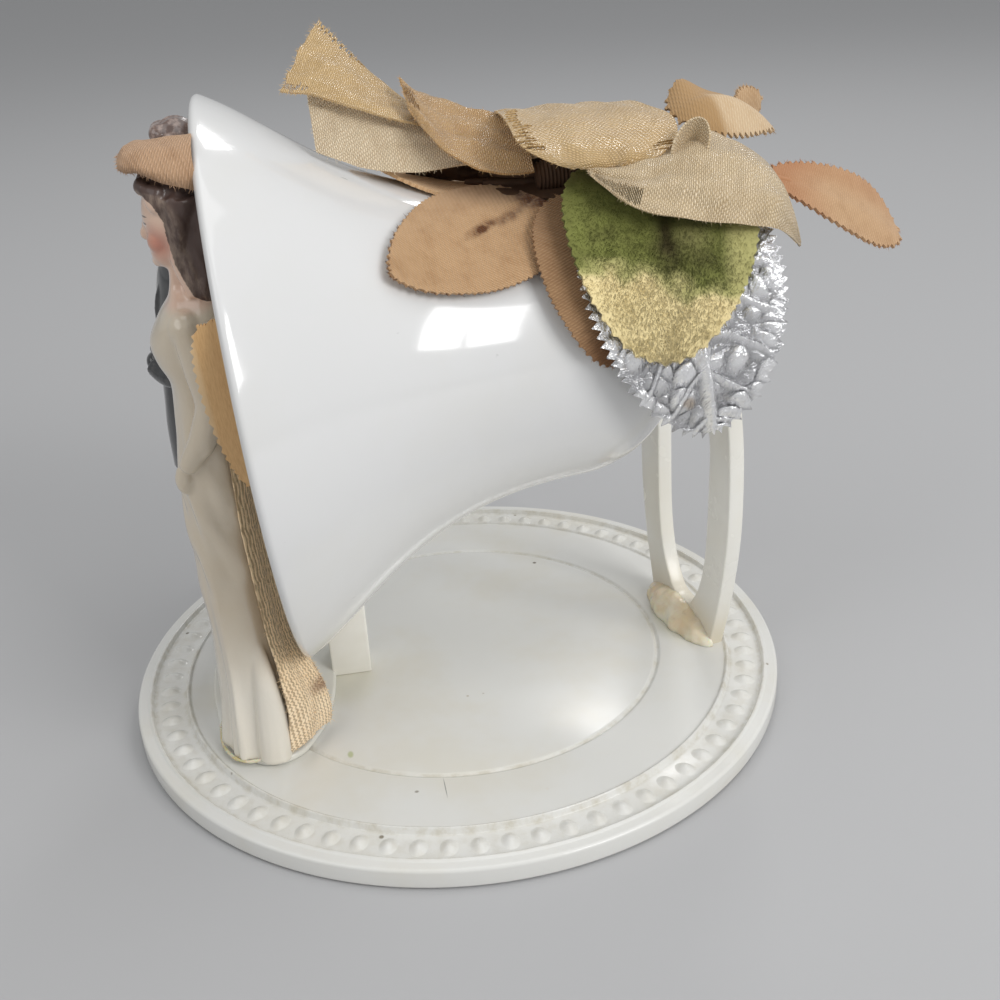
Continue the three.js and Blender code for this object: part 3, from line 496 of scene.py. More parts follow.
finish_with(bell, "SOLIDIFY", thickness=BELL_WALL, offset=-1, use_even_offset=True)
finish_with(bell, "BEVEL", width=0.62 * MM, segments=5, limit_method="ANGLE", angle_limit=math.radians(50))
bpy.ops.object.select_all(action="DESELECT")
bpy.ops.mesh.primitive_cylinder_add(
    vertices=48, radius=STUD_RADIUS, depth=STUD_LENGTH + BELL_WALL / 2,
    location=(0, bell_length + STUD_LENGTH / 2 - BELL_WALL / 4, 0), rotation=(math.pi / 2, 0, 0))
stud = bpy.context.object
finish_with(stud, "BEVEL", width=0.4 * MM, segments=3, limit_method="ANGLE")
settle(stud)
joined([bell, stud])
bell.rotation_euler.x = BELL_TILT
bell.location = MOUTH_PLACE
settle(bell)
smooth(bell, 50)
material, tree, shader, place, colour = plastic(
    "bell_plastic", (0.79, 0.79, 0.785, 1), (0.75, 0.74, 0.69, 1), 0.3, 0.02, 0.1, coat=0.4)
for turn, stretch in ((0.6, (60, 420, 900)), (2.1, (900, 70, 480))):
    scuffs = put(tree, "ShaderNodeMapping", {"Vector": place, "Rotation": (turn, 0.3, 0), "Scale": stretch})
    scuffs = band(tree, noise_node(tree, scuffs.outputs["Vector"], 1, 2, 0.5), 0.76, 0.82)
    colour = stain_and_shade(tree, colour, (0.3, 0.3, 0.28, 1), scuffs, 0.5)
feed(tree, shader, {"Base Color": colour})
fit(bell, material, nodes=["bell"])


# Bracket
# A lyre-shaped plate of ivory plastic behind the bell, glued to the base a little askew. The ring at its
# top takes the bell's stud.
BRACKET_TURN = math.radians(10)
BRACKET_THICKNESS = 2.2 * MM
BRACKET_EDGE = 0.25 * MM
BRACKET_HALF = [(8.6, 0), (11.47, 10.7), (12.9, 23.7), (11.05, 38.8), (7.2, 47.45)]
BRACKET_GAP = [(0, 3.2), (3, 4.2), (7.3, 23.7), (5.11, 36.25), (0, 39.25)]
RING_HEIGHT = 47.45
RING_OUTER = 7.2
RING_BORE = 3.8
bracket_place = Vector((0, (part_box("bell_bracket")[0].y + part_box("bell_bracket")[1].y) / 2, base_top))


def smooth_outline(curve, points, sharp=()):
    """Adds a closed Bezier spline through points, with corners at the numbers in sharp."""
    spline = curve.splines.new("BEZIER")
    spline.bezier_points.add(len(points) - 1)
    spline.use_cyclic_u = True
    spline.resolution_u = 10
    for index, (point, (x, y)) in enumerate(zip(spline.bezier_points, points)):
        point.co = (x * MM, y * MM, 0)
        point.handle_left_type = point.handle_right_type = "VECTOR" if index in sharp else "AUTO"


outline = bpy.data.curves.new("bracket_outline", "CURVE")
outline.dimensions = "2D"
outline.fill_mode = "BOTH"
outline.extrude = BRACKET_THICKNESS / 2 - BRACKET_EDGE
outline.bevel_depth = BRACKET_EDGE
outline.bevel_resolution = 2
outline.offset = -BRACKET_EDGE
crown = []
for turn in (45, 90, 135):
    angle = math.radians(turn)
    crown.append((RING_OUTER * math.cos(angle), RING_HEIGHT + RING_OUTER * math.sin(angle)))
left = [(-x, y) for x, y in reversed(BRACKET_HALF)]
smooth_outline(outline, [*BRACKET_HALF, *crown, *left], sharp=(0, len(BRACKET_HALF) * 2 + 2))
smooth_outline(outline, BRACKET_GAP + [(-x, y) for x, y in reversed(BRACKET_GAP[1:-1])])
smooth_outline(outline, [(RING_BORE * math.cos(turn), RING_HEIGHT + RING_BORE * math.sin(turn))
                         for turn in (0, math.pi / 2, math.pi, 1.5 * math.pi)])
bracket = bpy.data.objects.new("bracket_plate", outline)
scene.collection.objects.link(bracket)
use_only(bracket)
bpy.ops.object.convert(target="MESH")
bracket = bpy.context.object
bracket.rotation_euler = (math.pi / 2, 0, BRACKET_TURN)
bracket.location = bracket_place
settle(bracket)
bpy.ops.object.mode_set(mode="EDIT")
bpy.ops.mesh.select_all(action="SELECT")
bpy.ops.mesh.remove_doubles(threshold=0.005 * MM)
bpy.ops.mesh.normals_make_consistent(inside=False)
bpy.ops.object.mode_set(mode="OBJECT")
smooth(bracket, 40)
BRACKET_IVORY = (0.9, 0.885, 0.825, 1)
BRACKET_AGED = (0.85, 0.81, 0.7, 1)
material, tree, shader, place, colour = plastic(
    "bracket_plastic", BRACKET_IVORY, BRACKET_AGED, 0.6, 0.07, 0.24)
height = three_of(tree, place)["Z"]
foot = one_minus(tree, band(tree, height, base_top + 1 * MM, base_top + 9 * MM))
colour = stain_and_shade(tree, colour, (0.72, 0.62, 0.42, 1), foot, 0.6)
feed(tree, shader, {"Base Color": colour})
fit(bracket, material, nodes=["bell_bracket"])


# Glue at the bracket's foot
# Old clear glue that ran out in front of the bracket's foot and set in a lumpy, beige, half clear bead.
# It holds the bracket to the base.
GLUE_HALF = Vector((9.4, 3.6, 3.3)) * MM
GLUE_BACK = -0.7 * MM
GLUE_LUMP = 0.28 * MM
bpy.ops.object.select_all(action="DESELECT")
bpy.ops.mesh.primitive_uv_sphere_add(segments=64, ring_count=40, radius=1)
glue = bpy.context.object
glue.name = "bracket_glue_bead"
glue.scale = GLUE_HALF
glue.location.y = GLUE_BACK
settle(glue)
bpy.ops.object.mode_set(mode="EDIT")
for keep, beyond in (((0, 0, 0), (0, 0, 1)), ((0, GLUE_BACK, 0), (0, -1, 0))):
    bpy.ops.mesh.select_all(action="SELECT")
    bpy.ops.mesh.bisect(plane_co=keep, plane_no=beyond, use_fill=True, clear_inner=True)
bpy.ops.object.mode_set(mode="OBJECT")
finish_with(glue, "REMESH", mode="VOXEL", voxel_size=0.2 * MM)
for vertex in glue.data.vertices:
    bulge = noise.noise(vertex.co / (2.6 * MM)) + 0.5 * noise.noise(vertex.co / (1.1 * MM))
    vertex.co.y -= GLUE_LUMP * bulge * min(1, max(0, -vertex.co.y / MM - 1.2))
    vertex.co.z += GLUE_LUMP * bulge * min(1, vertex.co.z / MM)
finish_with(glue, "SMOOTH", factor=0.5, iterations=3)
glue.rotation_euler.z = BRACKET_TURN
glue.location = bracket_place
settle(glue)
smooth(glue, 60)
material, tree, shader = new_material("old_glue")
place = object_place(tree)
cloud = noise_node(tree, place, 260, 4, 0.6)
colour = mixed(tree, band(tree, cloud, 0.35, 0.65), (0.94, 0.85, 0.67, 1), (0.84, 0.69, 0.47, 1))
dirt = band(tree, noise_node(tree, place, 480, 5, 0.7), 0.58, 0.72)
colour = stain_and_shade(tree, colour, (0.4, 0.3, 0.18, 1), dirt, 0.3)
feed(tree, shader, {"Base Color": colour})
bumped(tree, shader, 0.3, 0.2 * MM, cloud)
feed(tree, shader, {
    "Roughness": 0.22, "Subsurface Weight": 0.6, "Subsurface Radius": (1, 0.7, 0.4),
    "Subsurface Scale": 1 * MM})
fit(glue, material, nodes=["bracket_glue"])


# Rest under the bell
# A small block of the bracket's ivory plastic, cut to the slope of the bell's flare and glued between the
# flare and the base.
REST_FRONT_HEIGHT = 13.6 * MM
REST_FRONT_REACH = 0.9 * MM
low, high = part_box("bell_rest")
low.y -= REST_FRONT_REACH
bpy.ops.object.select_all(action="DESELECT")
bpy.ops.mesh.primitive_cube_add(size=1, location=(low + high) / 2)
rest = bpy.context.object
rest.name = "bell_rest_block"
rest.scale = high - low
settle(rest)
for vertex in rest.data.vertices:
    if vertex.co.z > (low.z + high.z) / 2 and vertex.co.y < (low.y + high.y) / 2:
        vertex.co.z = REST_FRONT_HEIGHT
finish_with(rest, "BEVEL", width=0.3 * MM, segments=3, limit_method="ANGLE")
smooth(rest)
# A little lighter than the bracket's ivory: painted light that offsets the shade under the bell.
material, tree, shader, place, colour = plastic(
    "rest_plastic", (0.94, 0.93, 0.87, 1), PLASTIC_AGED, 0.4, 0.04, 0.22)
fit(rest, material, nodes=["bell_rest"])


# Plinth and its glue
# A thin oval of the same white plastic under the couple, with a soft edge, and a line of yellowed glue that
# oozed out round the bride's hem.
low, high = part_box("figure_plinth")
plinth_half = (high - low) / 2
bpy.ops.object.select_all(action="DESELECT")
bpy.ops.mesh.primitive_cylinder_add(vertices=128, radius=1, depth=2, location=(low + high) / 2)
plinth = bpy.context.object
plinth.name = "figure_plinth_oval"
plinth.scale = plinth_half
settle(plinth)
for vertex in plinth.data.vertices:
    ripple = noise.noise(Vector((vertex.co.x, vertex.co.y, 0)) / (5 * MM))
    vertex.co.y += 0.25 * MM * ripple
finish_with(plinth, "BEVEL", width=0.42 * MM, segments=4, limit_method="ANGLE")
smooth(plinth, 40)
material, tree, shader, place, colour = plastic(
    "plinth_plastic", (0.78, 0.775, 0.72, 1), PLASTIC_AGED, 0.6, 0.05, 0.18)
fit(plinth, material, nodes=["figure_plinth"])


# Bride
# A cast figure with a pearl glaze over its gown and sleeves, and hair and face painted on by hand. It
# stands on the plinth, where its hem is glued.
HEM_FRONT = 3.8
FIGURE_VOXEL = 0.22 * MM
# Rows of a body: height, half width, front depth and back depth in millimetres over the plinth.
BRIDE_GOWN = [
    (0, 7.4, 3.8, 6.8), (3, 6.8, 3.4, 5.9), (8, 5.8, 3, 4.8), (14, 5.1, 2.9, 4.2), (24, 4.9, 3.2, 4),
    (32, 5.4, 3.5, 4), (37, 5.6, 3.4, 3.8), (42, 5, 2.9, 3.4), (46, 4.3, 2.5, 3.1), (49, 4.5, 2.5, 3.2),
    (51.4, 4.9, 3.5, 3.6), (53.8, 5.2, 3.85, 4.2), (56.5, 5.5, 2.5, 4.8), (58.3, 3.9, 1.2, 4.2),
    (59.8, 2.1, 0.7, 2.8), (61.5, 1.8, 0.5, 2.4), (64, 1.8, 0.6, 2.4)]
GOWN_PLEATS = 7
GOWN_PLEAT_DEPTH = 0.32
# The full fold at the hem, and the joints of an arm: centre and radius.
HEM_FOLD = [
    (4.1, 2.3, 16, 0.6), (5.1, 2.8, 11, 1.35), (5.8, 3, 6.5, 1.8), (6.5, 3, 2.2, 2.1),
    (6.7, 2.9, -0.3, 2.1)]
BRIDE_ARM = [
    (4.8, 0.5, 56.4, 1.5), (5.8, 1.5, 51.5, 1.75), (6.1, 1.9, 47.2, 1.6), (5.6, 0.2, 43, 1.5),
    (4.7, -1.7, 39.8, 1.05)]
BRIDE_SHOULDER = (4.6, 0.6, 55.8, 1.6, 1.9, 2.1)
BRIDE_HAND = (4.4, -2.2, 38.4, 0.9, 1.15, 1.9)
# Lumps of a head: centre and half sizes. Those off the middle are made on both sides.
BRIDE_FACE = [
    (0, 0.75, 67.3, 3.3, 3.05, 4.7), (0, -0.2, 63.7, 2.3, 1.85, 2.1), (0, -1.3, 62.55, 0.95, 0.75, 0.75),
    (0, -2.2, 65.55, 0.5, 0.62, 0.75), (0, -2, 66.4, 0.34, 0.45, 1.1), (0, -1.75, 64.25, 0.85, 0.42, 0.28),
    (0, -1.7, 63.75, 0.7, 0.42, 0.28), (1.25, -0.95, 64.9, 1.2, 1.15, 1.4)]
BRIDE_HAIR = [
    (0, 1.3, 68.4, 3.7, 3.1, 4.5), (0, 2.9, 64.6, 3.9, 1.75, 6.1), (1.6, -1.5, 70.7, 1.6, 0.85, 1),
    (2.9, -0.3, 69.6, 0.95, 1.2, 1.6), (1.6, 3.5, 60.4, 2.5, 1.6, 2.8)]
LOCK_STARTS = [0.9, 1.8, 2.8, 3.7, 4.4]
LOCK_TOP = 69.6
LOCK_END = 59
# The front edge of the painted hair, seen from the side: height, and how far behind the middle it lies.
BRIDE_HAIRLINE = [(58.2, 9), (58.4, 3.2), (59, 2.1), (60.4, 1.4), (62.5, 0.6), (65.5, 0.15), (67.2, 0.1),
                  (69.3, -0.8), (70.1, -1.7), (70.6, -4), (80, -9)]
NECKLINE = 58
GOWN_PEARL = (0.72, 0.61, 0.455, 1)
GOWN_PALE = (0.8, 0.75, 0.65, 1)
HAIR_BROWN = (0.085, 0.05, 0.04, 1)
HAIR_WORN = (0.27, 0.2, 0.155, 1)
SKIN = (0.84, 0.6, 0.46, 1)
BLUSH = (0.58, 0.2, 0.13, 1)
PAINT_DARK = (0.06, 0.035, 0.025, 1)


def flowing(rows, steps):
    """Rows of numbers on a smooth curve through the given rows, with so many steps between two of them."""
    last = len(rows) - 1
    made = []
    for index in range(last * steps + 1):
        start = min(index // steps, last - 1)
        t = index / steps - start
        four = [rows[min(max(start + k, 0), last)] for k in (-1, 0, 1, 2)]
        made.append([
            0.5 * (2 * b + (c - a) * t + (2 * a - 5 * b + 4 * c - d) * t ** 2
                   + (3 * b - a - 3 * c + d) * t ** 3)
            for a, b, c, d in zip(*four)])
    return made


def from_points(name, points, faces):
    """An object from points in millimetres."""
    mesh = bpy.data.meshes.new(name)
    mesh.from_pydata([Vector(point) * MM for point in points], [], faces)
    piece = bpy.data.objects.new(name, mesh)
    scene.collection.objects.link(piece)
    return piece


def lofted(name, rings):
    """A closed object through rings of points in millimetres."""
    count = len(rings[0])
    faces = [tuple(reversed(range(count))), tuple(range((len(rings) - 1) * count, len(rings) * count))]
    for row in range(len(rings) - 1):
        for step in range(count):
            here, after = row * count + step, row * count + (step + 1) % count
            faces.append((here, after, after + count, here + count))
    return from_points(name, [point for ring in rings for point in ring], faces)


def body_part(rows, shift=0, pleat=None, back_round=1):
    """A lofted body through rows; pleat gives how far the cloth stands out at an angle and height, and a
    back_round under 1 makes the back squarer."""
    rings = []
    for height, half, front, back in flowing(rows, 6):
        ring = []
        for step in range(48):
            angle = step / 48 * math.tau
            out = pleat(angle, height) if pleat else 0
            aside, behind = math.cos(angle), math.sin(angle)
            if behind > 0:
                aside, behind = math.copysign(abs(aside) ** back_round, aside), behind ** back_round
            depth = (front if behind < 0 else back) + out
            ring.append((shift + (half + out) * aside, depth * behind, height))
        rings.append(ring)
    return lofted("body", rings)


def limb(joints):
    """A round tube through joints that each give a centre and a radius."""
    rows = flowing(joints, 7)
    rings = []
    for index, (x, y, z, radius) in enumerate(rows):
        before, after = rows[max(index - 1, 0)], rows[min(index + 1, len(rows) - 1)]
        ahead = Vector(after[:3]) - Vector(before[:3])
        side = Vector((1, 0, 0)).cross(ahead).normalized()
        across = ahead.normalized().cross(side)
        ring = []
        for step in range(14):
            turn = step / 14 * math.tau
            ring.append(Vector((x, y, z)) + radius * (side * math.cos(turn) + across * math.sin(turn)))
        rings.append(ring)
    return lofted("limb", rings)


def lump(x, y, z, half_x, half_y, half_z):
    bpy.ops.object.select_all(action="DESELECT")
    bpy.ops.mesh.primitive_uv_sphere_add(segments=32, ring_count=20, radius=1)
    piece = bpy.context.object
    piece.scale = Vector((half_x, half_y, half_z)) * MM
    piece.location = Vector((x, y, z)) * MM
    settle(piece)
    return piece


def both_sides(make, *numbers):
    """Makes a part on the +X side and its mirror image, or one part where it lies in the middle."""
    if numbers[0] == 0:
        return [make(*numbers)]
    return [make(*numbers), make(-numbers[0], *numbers[1:])]


def mirrored_limbs(joints):
    return [limb(joints), limb([(-x, *rest) for x, *rest in joints])]


def cast(name, parts):
    """Fuses parts into one cast body and softens it."""
    figure = joined(parts)
    figure.name = name
    finish_with(figure, "REMESH", mode="VOXEL", voxel_size=FIGURE_VOXEL)
    finish_with(figure, "SMOOTH", factor=0.5, iterations=3)
    return figure


def line_at(points, at):
    """The value of a line through (at, value) points."""
    for (low, first), (high, second) in zip(points, points[1:]):
        if at <= high:
            share = max(0, (at - low) / (high - low))
            return first + (second - first) * share
    return points[-1][1]


def pushed_out(piece, push):
    """Moves each vertex along its normal by push(place), in the piece's own millimetres."""
    count = len(piece.data.vertices)
    places, normals = [0.0] * count * 3, [0.0] * count * 3
    piece.data.vertices.foreach_get("co", places)
    piece.data.vertex_normals.foreach_get("vector", normals)
    for start in range(0, count * 3, 3):
        amount = push(*(value / MM for value in places[start:start + 3])) * MM
        for axis in range(start, start + 3):
            places[axis] += normals[axis] * amount
    piece.data.vertices.foreach_set("co", places)
    piece.data.update()


def keep_value(piece, name, values):
    """Stores one number for each vertex, which the material reads."""
    piece.data.attributes.new(name, "FLOAT", "POINT").data.foreach_set("value", values)


def stored(tree, name):
    """The number that keep_value stored."""
    return put(tree, "ShaderNodeAttribute", attribute_name=name).outputs["Fac"]


def gown_pleat(angle, height):
    """Broad pleats, and fine ones at the front of each side."""
    fade = max(0, 1 - height / 30) ** 1.2
    broad = GOWN_PLEAT_DEPTH * math.cos(
        GOWN_PLEATS * angle - 3.2 + 0.8 * math.sin(2 * angle) + 0.05 * height)
    fine = 0.26 * math.cos(19 * angle + 0.06 * height) * math.exp(-((angle - 5.7) / 0.5) ** 2)
    return fade * (broad + fine)


low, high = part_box("bride_figure")
bride_place = Vector(((low.x + high.x) / 2, low.y + HEM_FRONT * MM, low.z))
parts = [body_part(BRIDE_GOWN, pleat=gown_pleat, back_round=0.5), *mirrored_limbs(HEM_FOLD)]
parts += [*mirrored_limbs(BRIDE_ARM), *both_sides(lump, *BRIDE_HAND)]
parts += both_sides(lump, *BRIDE_SHOULDER)
for numbers in BRIDE_FACE + BRIDE_HAIR:
    parts += both_sides(lump, *numbers)
for index, start in enumerate(LOCK_STARTS):
    lock = []
    for step in range(9):
        down = step / 8
        wave = math.sin(down * 7.5 + index * 1.3)
        lock.append((3.1 + 0.35 * wave - 0.5 * down, start + 0.4 * wave + 0.9 * down * (1 - index / 4),
                     LOCK_TOP + (LOCK_END - LOCK_TOP) * down, 1.05 - 0.12 * down))
    parts += mirrored_limbs(lock)
bride = cast("bride_cast_figure", parts)
below = bride.vertex_groups.new(name="below_neck")
below.add([vertex.index for vertex in bride.data.vertices if vertex.co.z < NECKLINE * MM], 1, "REPLACE")
finish_with(bride, "SMOOTH", factor=0.5, iterations=5, vertex_group="below_neck")
bride.vertex_groups.clear()


def bride_relief(x, y, z):
    """Strands in the hair and soft drapes in the gown."""
    behind = y - line_at(BRIDE_HAIRLINE, z)
    if behind > 0:
        return 0.09 * math.sin(3.4 * y + 1.2 * math.sin(1.3 * z) + 2.2 * x) * min(1, behind)
    drape = noise.noise(Vector((x / 2.2, y / 2.2, z / 9 + x / 7)))
    slant = math.exp(-((z - 32) / 8) ** 2) * math.sin(0.75 * z + 1.3 * y + 0.7 * x + 2 * drape)
    return (0.28 * drape + 0.24 * slant) * min(1, max(0, (52 - z) / 8))


places = [vertex.co / MM for vertex in bride.data.vertices]
keep_value(bride, "hair", [y - line_at(BRIDE_HAIRLINE, z) for x, y, z in places])
pushed_out(bride, bride_relief)
bride.location = bride_place
settle(bride)
smooth(bride, 180)


def figure_paint(name, place):
    """A glazed paint; returns with it a figure's own millimetres, also with both sides alike."""
    material, tree, shader = new_material(name)
    local = vector_node(tree, "SUBTRACT", object_place(tree), place)["Vector"]
    local = put(tree, "ShaderNodeVectorMath", {0: local, "Scale": 1 / MM}, operation="SCALE").outputs[0]
    apart = three_of(tree, local)
    even = put(tree, "ShaderNodeCombineXYZ", {
        "X": math_node(tree, "ABSOLUTE", apart["X"]), "Y": apart["Y"], "Z": apart["Z"]}).outputs[0]
    feed(tree, shader, {"Coat Weight": 1.0, "Coat Roughness": 0.1, "Roughness": 0.3})
    return material, tree, shader, local, even, apart


material, tree, shader, local, even, apart = figure_paint("bride_glaze", bride_place)
cloud = noise_node(tree, local, 0.35, 3, 0.6)
pale = one_minus(tree, band(tree, apart["Z"], 4, 22))
pale = plus(tree, pale, times(tree, cloud, 0.35), clamp=True)
colour = mixed(tree, pale, GOWN_PEARL, GOWN_PALE)
edge = plus(tree, apart["Z"], times(tree, cloud, 1.2))
colour = mixed(tree, band(tree, edge, NECKLINE - 0.2, NECKLINE + 1), colour, SKIN)
for paint, centre, half, soft, strength in (
        (BLUSH, (2.2, -0.9, 64.8), (3, 2.9, 3.1), 0.98, 0.85),
        (BLUSH, (0, -2.1, 64.05), (0.75, 0.6, 0.34), 0.5, 0.8),
        (PAINT_DARK, (1.35, -1.9, 67.62), (0.95, 0.9, 0.13), 0.5, 0.85),
        (PAINT_DARK, (1.3, -1.9, 66.85), (0.6, 0.9, 0.15), 0.5, 0.95),
        ((0.75, 0.7, 0.64, 1), (1.3, -1.9, 66.62), (0.5, 0.9, 0.13), 0.5, 0.7)):
    colour = painted(tree, colour, paint, even, centre, half, soft, strength)
hair = stored(tree, "hair")
hair = plus(tree, hair, times(tree, noise_node(tree, local, 2.5, 2), 0.25))
streak = put(tree, "ShaderNodeMapping", {"Vector": local, "Scale": (1.5, 1.5, 0.5)}).outputs["Vector"]
worn = band(tree, noise_node(tree, streak, 0.8, 4, 0.65), 0.3, 0.7)
worn = times(tree, worn, one_minus(tree, band(tree, hair, 1.4, 2.4)))
hair_colour = mixed(tree, worn, HAIR_BROWN, HAIR_WORN)
hair_paint = band(tree, hair, 0.1, 0.22)
colour = mixed(tree, hair_paint, colour, hair_colour)
dulled = times(tree, hair_paint, -0.65)
feed(tree, shader, {
    "Coat Weight": plus(tree, 1, dulled), "Roughness": plus(tree, 0.3, times(tree, hair_paint, 0.25))})
grains = put(tree, "ShaderNodeTexVoronoi", {"Vector": local, "Scale": 2.6}).outputs
grain = math_node(tree, "LESS_THAN", grains["Distance"], 0.22)
for centre in ((2.2, -0.6, 58.3), (1.2, -1.6, 57.2)):
    glitter = times(tree, grain, spot_mask(tree, even, centre, (1.3, 1.3, 1.1), 0.7))
    colour = mixed(tree, glitter, colour, (0.8, 0.62, 0.36, 1))
feed(tree, shader, {"Base Color": colour})
bumped(tree, shader, 0.25, 0.1 * MM, noise_node(tree, local, 1.6, 3))
fit(bride, material, nodes=["bride_figure"])

# The ooze of glue follows the hem round the front and the near side.
OOZE_RADIUS = 0.28
OOZE_START = -150
OOZE_SWEEP = 175
HEM_HALF = 7.1
HEM_BACK = 6.6
ooze_path = []
for step in range(34):
    angle = math.radians(OOZE_START + OOZE_SWEEP * step / 33)
    beyond = 0.35 + 0.2 * noise.noise(Vector((step / 3, 0, 0)))
    depth = (HEM_FRONT if math.sin(angle) < 0 else HEM_BACK) + beyond
    swell = OOZE_RADIUS * (0.75 + 0.5 * noise.noise(Vector((step / 2.5, 4, 0))))
    ooze_path.append(((HEM_HALF + beyond) * math.cos(angle), depth * math.sin(angle), 0.02, swell))
ooze = limb(ooze_path[::2])
ooze.name = "hem_glue_line"
ooze.location = bride_place
settle(ooze)
smooth(ooze, 60)
material, tree, shader = new_material("yellow_glue")
place = object_place(tree)
cloud = noise_node(tree, place, 500, 3)
colour = mixed(tree, band(tree, cloud, 0.4, 0.62), (0.62, 0.56, 0.3, 1), (0.74, 0.71, 0.55, 1))
feed(tree, shader, {
    "Base Color": colour, "Roughness": 0.16, "Subsurface Weight": 0.4, "Subsurface Scale": 0.6 * MM})
fit(ooze, material)


# Groom
# The bride's partner, cast the same way and painted: a black suit with a white shirt front, brown hair.
# It stands on the plinth at the bride's far side.
GROOM_LEG = [(0, 2.1, 2.4, 2.3), (2, 2, 2.2, 2.1), (16, 2.4, 2.4, 2.2), (33, 3, 2.9, 2.8)]
GROOM_SHOE = [(0, 1.9, 5, 2), (1.2, 1.8, 4.8, 2), (2.1, 1.7, 3.4, 1.9), (2.6, 1.5, 2.4, 1.8)]
GROOM_SPREAD = 2.5
GROOM_JACKET = [
    (29, 5.6, 6.6, 4), (33, 5.9, 6.5, 3.9), (40, 5.1, 6.1, 3.3), (46, 5.6, 5.4, 3.4), (52, 6.4, 4.9, 3.6),
    (56, 6.5, 4.1, 3.4), (58.3, 4, 2.9, 2.8), (60, 2.2, 1.6, 2), (64, 2.1, 1.5, 2)]
GROOM_ARM = [
    (6.2, 0, 56, 1.9), (7, 0.6, 50, 1.9), (7.2, -0.8, 44.8, 1.75),
    (5.8, -4.2, 43.4, 1.55), (3.6, -6, 44.2, 1.35)]
GROOM_HAND = (2.4, -6.3, 44.5, 1.5, 0.9, 1.1)
GROOM_FACE = [
    (0, 0.4, 68.4, 3.35, 3.2, 4.7), (0, -0.3, 64.8, 2.5, 2.1, 2.2), (0, -1.6, 63.7, 1.1, 0.8, 0.8),
    (0, -2.7, 66.7, 0.55, 0.65, 0.8), (0, -2.55, 67.6, 0.36, 0.45, 1.1), (0, -2.25, 65.4, 0.9, 0.4, 0.25),
    (0, -2.2, 64.95, 0.75, 0.4, 0.25), (1.4, -1.2, 66.1, 1.2, 1.2, 1.3), (3.4, 0.8, 67, 0.4, 0.7, 1)]
GROOM_HAIR = [(0, 0.9, 69.7, 3.6, 3.2, 4.35), (0.9, -0.8, 72.2, 2, 1.4, 1.3), (3.1, 0.9, 69, 0.6, 1.6, 2)]
GROOM_LAPEL = [(2.6, -2.2, 57, 0.55), (2.7, -4.2, 53, 0.5), (1.6, -5, 49, 0.4), (0.5, -5.3, 46, 0.3)]
GROOM_TIE = (0.85, -2.3, 58.7, 0.75, 0.5, 0.6)
GROOM_HAIRLINE = [
    (58, 9), (66.4, 4), (66.6, 1.6), (69, 0.4), (70.6, -0.6), (71.3, -2.5), (72, -5), (82, -9)]
GROOM_STAND = -29.16 * MM
low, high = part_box("groom_figure")
groom_place = Vector(((low.x + high.x) / 2, GROOM_STAND, low.z))
parts = [body_part(GROOM_JACKET), *mirrored_limbs(GROOM_ARM), *mirrored_limbs(GROOM_LAPEL)]
for side in (-1, 1):
    parts += [body_part(GROOM_LEG, side * GROOM_SPREAD), body_part(GROOM_SHOE, side * GROOM_SPREAD)]
for numbers in [GROOM_HAND, GROOM_TIE] + GROOM_FACE + GROOM_HAIR:
    parts += both_sides(lump, *numbers)
groom = cast("groom_cast_figure", parts)


def groom_relief(x, y, z):
    """Strands in the hair and creases in the suit."""
    behind = y - line_at(GROOM_HAIRLINE, z)
    if behind > 0:
        return 0.1 * math.sin(4.2 * x + 1.5 * math.sin(0.8 * y) + 0.8 * z) * min(1, behind)
    return 0.15 * noise.noise(Vector((x / 2.5, y / 2.5, z / 5))) if z < 58 else 0


places = [vertex.co / MM for vertex in groom.data.vertices]
keep_value(groom, "hair", [y - line_at(GROOM_HAIRLINE, z) for x, y, z in places])
keep_value(groom, "shirt", [min(0.19 * (z - 45) - abs(x), 61.2 - z, -1.2 - y) for x, y, z in places])
pushed_out(groom, groom_relief)
groom.location = groom_place
settle(groom)
smooth(groom, 180)
material, tree, shader, local, even, apart = figure_paint("groom_paint", groom_place)
cloud = noise_node(tree, local, 0.6, 4, 0.6)
colour = mixed(tree, band(tree, cloud, 0.55, 0.8), (0.022, 0.023, 0.025, 1), (0.07, 0.068, 0.066, 1))
shirt = stored(tree, "shirt")
colour = mixed(tree, band(tree, shirt, -0.05, 0.05), colour, (0.72, 0.7, 0.66, 1))
neck = band(tree, apart["Z"], 60.5, 60.8)
colour = mixed(tree, neck, colour, SKIN)
for paint, centre, half, soft, strength in (
        ((0.02, 0.02, 0.02, 1), (0.8, -2.6, 58.7), (1.3, 1, 0.75), 0.1, 1),
        (BLUSH, (2.2, -1.2, 65.9), (1.5, 1.9, 1.5), 0.9, 0.45),
        (BLUSH, (0, -2.5, 65.2), (0.8, 0.6, 0.3), 0.5, 0.7),
        (PAINT_DARK, (1.4, -2.2, 68.75), (1, 1, 0.2), 0.4, 0.9),
        (PAINT_DARK, (1.3, -2.2, 67.95), (0.55, 1, 0.17), 0.4, 1)):
    colour = painted(tree, colour, paint, even, centre, half, soft, strength)
hair = stored(tree, "hair")
worn = band(tree, noise_node(tree, local, 0.9, 4, 0.65), 0.42, 0.66)
hair_colour = mixed(tree, worn, (0.16, 0.1, 0.08, 1), (0.42, 0.3, 0.25, 1))
colour = mixed(tree, band(tree, hair, 0, 0.15), colour, hair_colour)
feed(tree, shader, {"Base Color": colour})
bumped(tree, shader, 0.3, 0.1 * MM, cloud)
fit(groom, material, nodes=["groom_figure"])


# Headpiece
# A scrap of coarse tan twill laid over the bride's head like a cap, with a rolled lower edge and a frayed
# tip over the brow. It is glued to the painted hair.
TWILL_TAN = (0.74, 0.49, 0.31, 1)
TWILL_HOLLOW_SHADE = (0.36, 0.2, 0.105, 1)
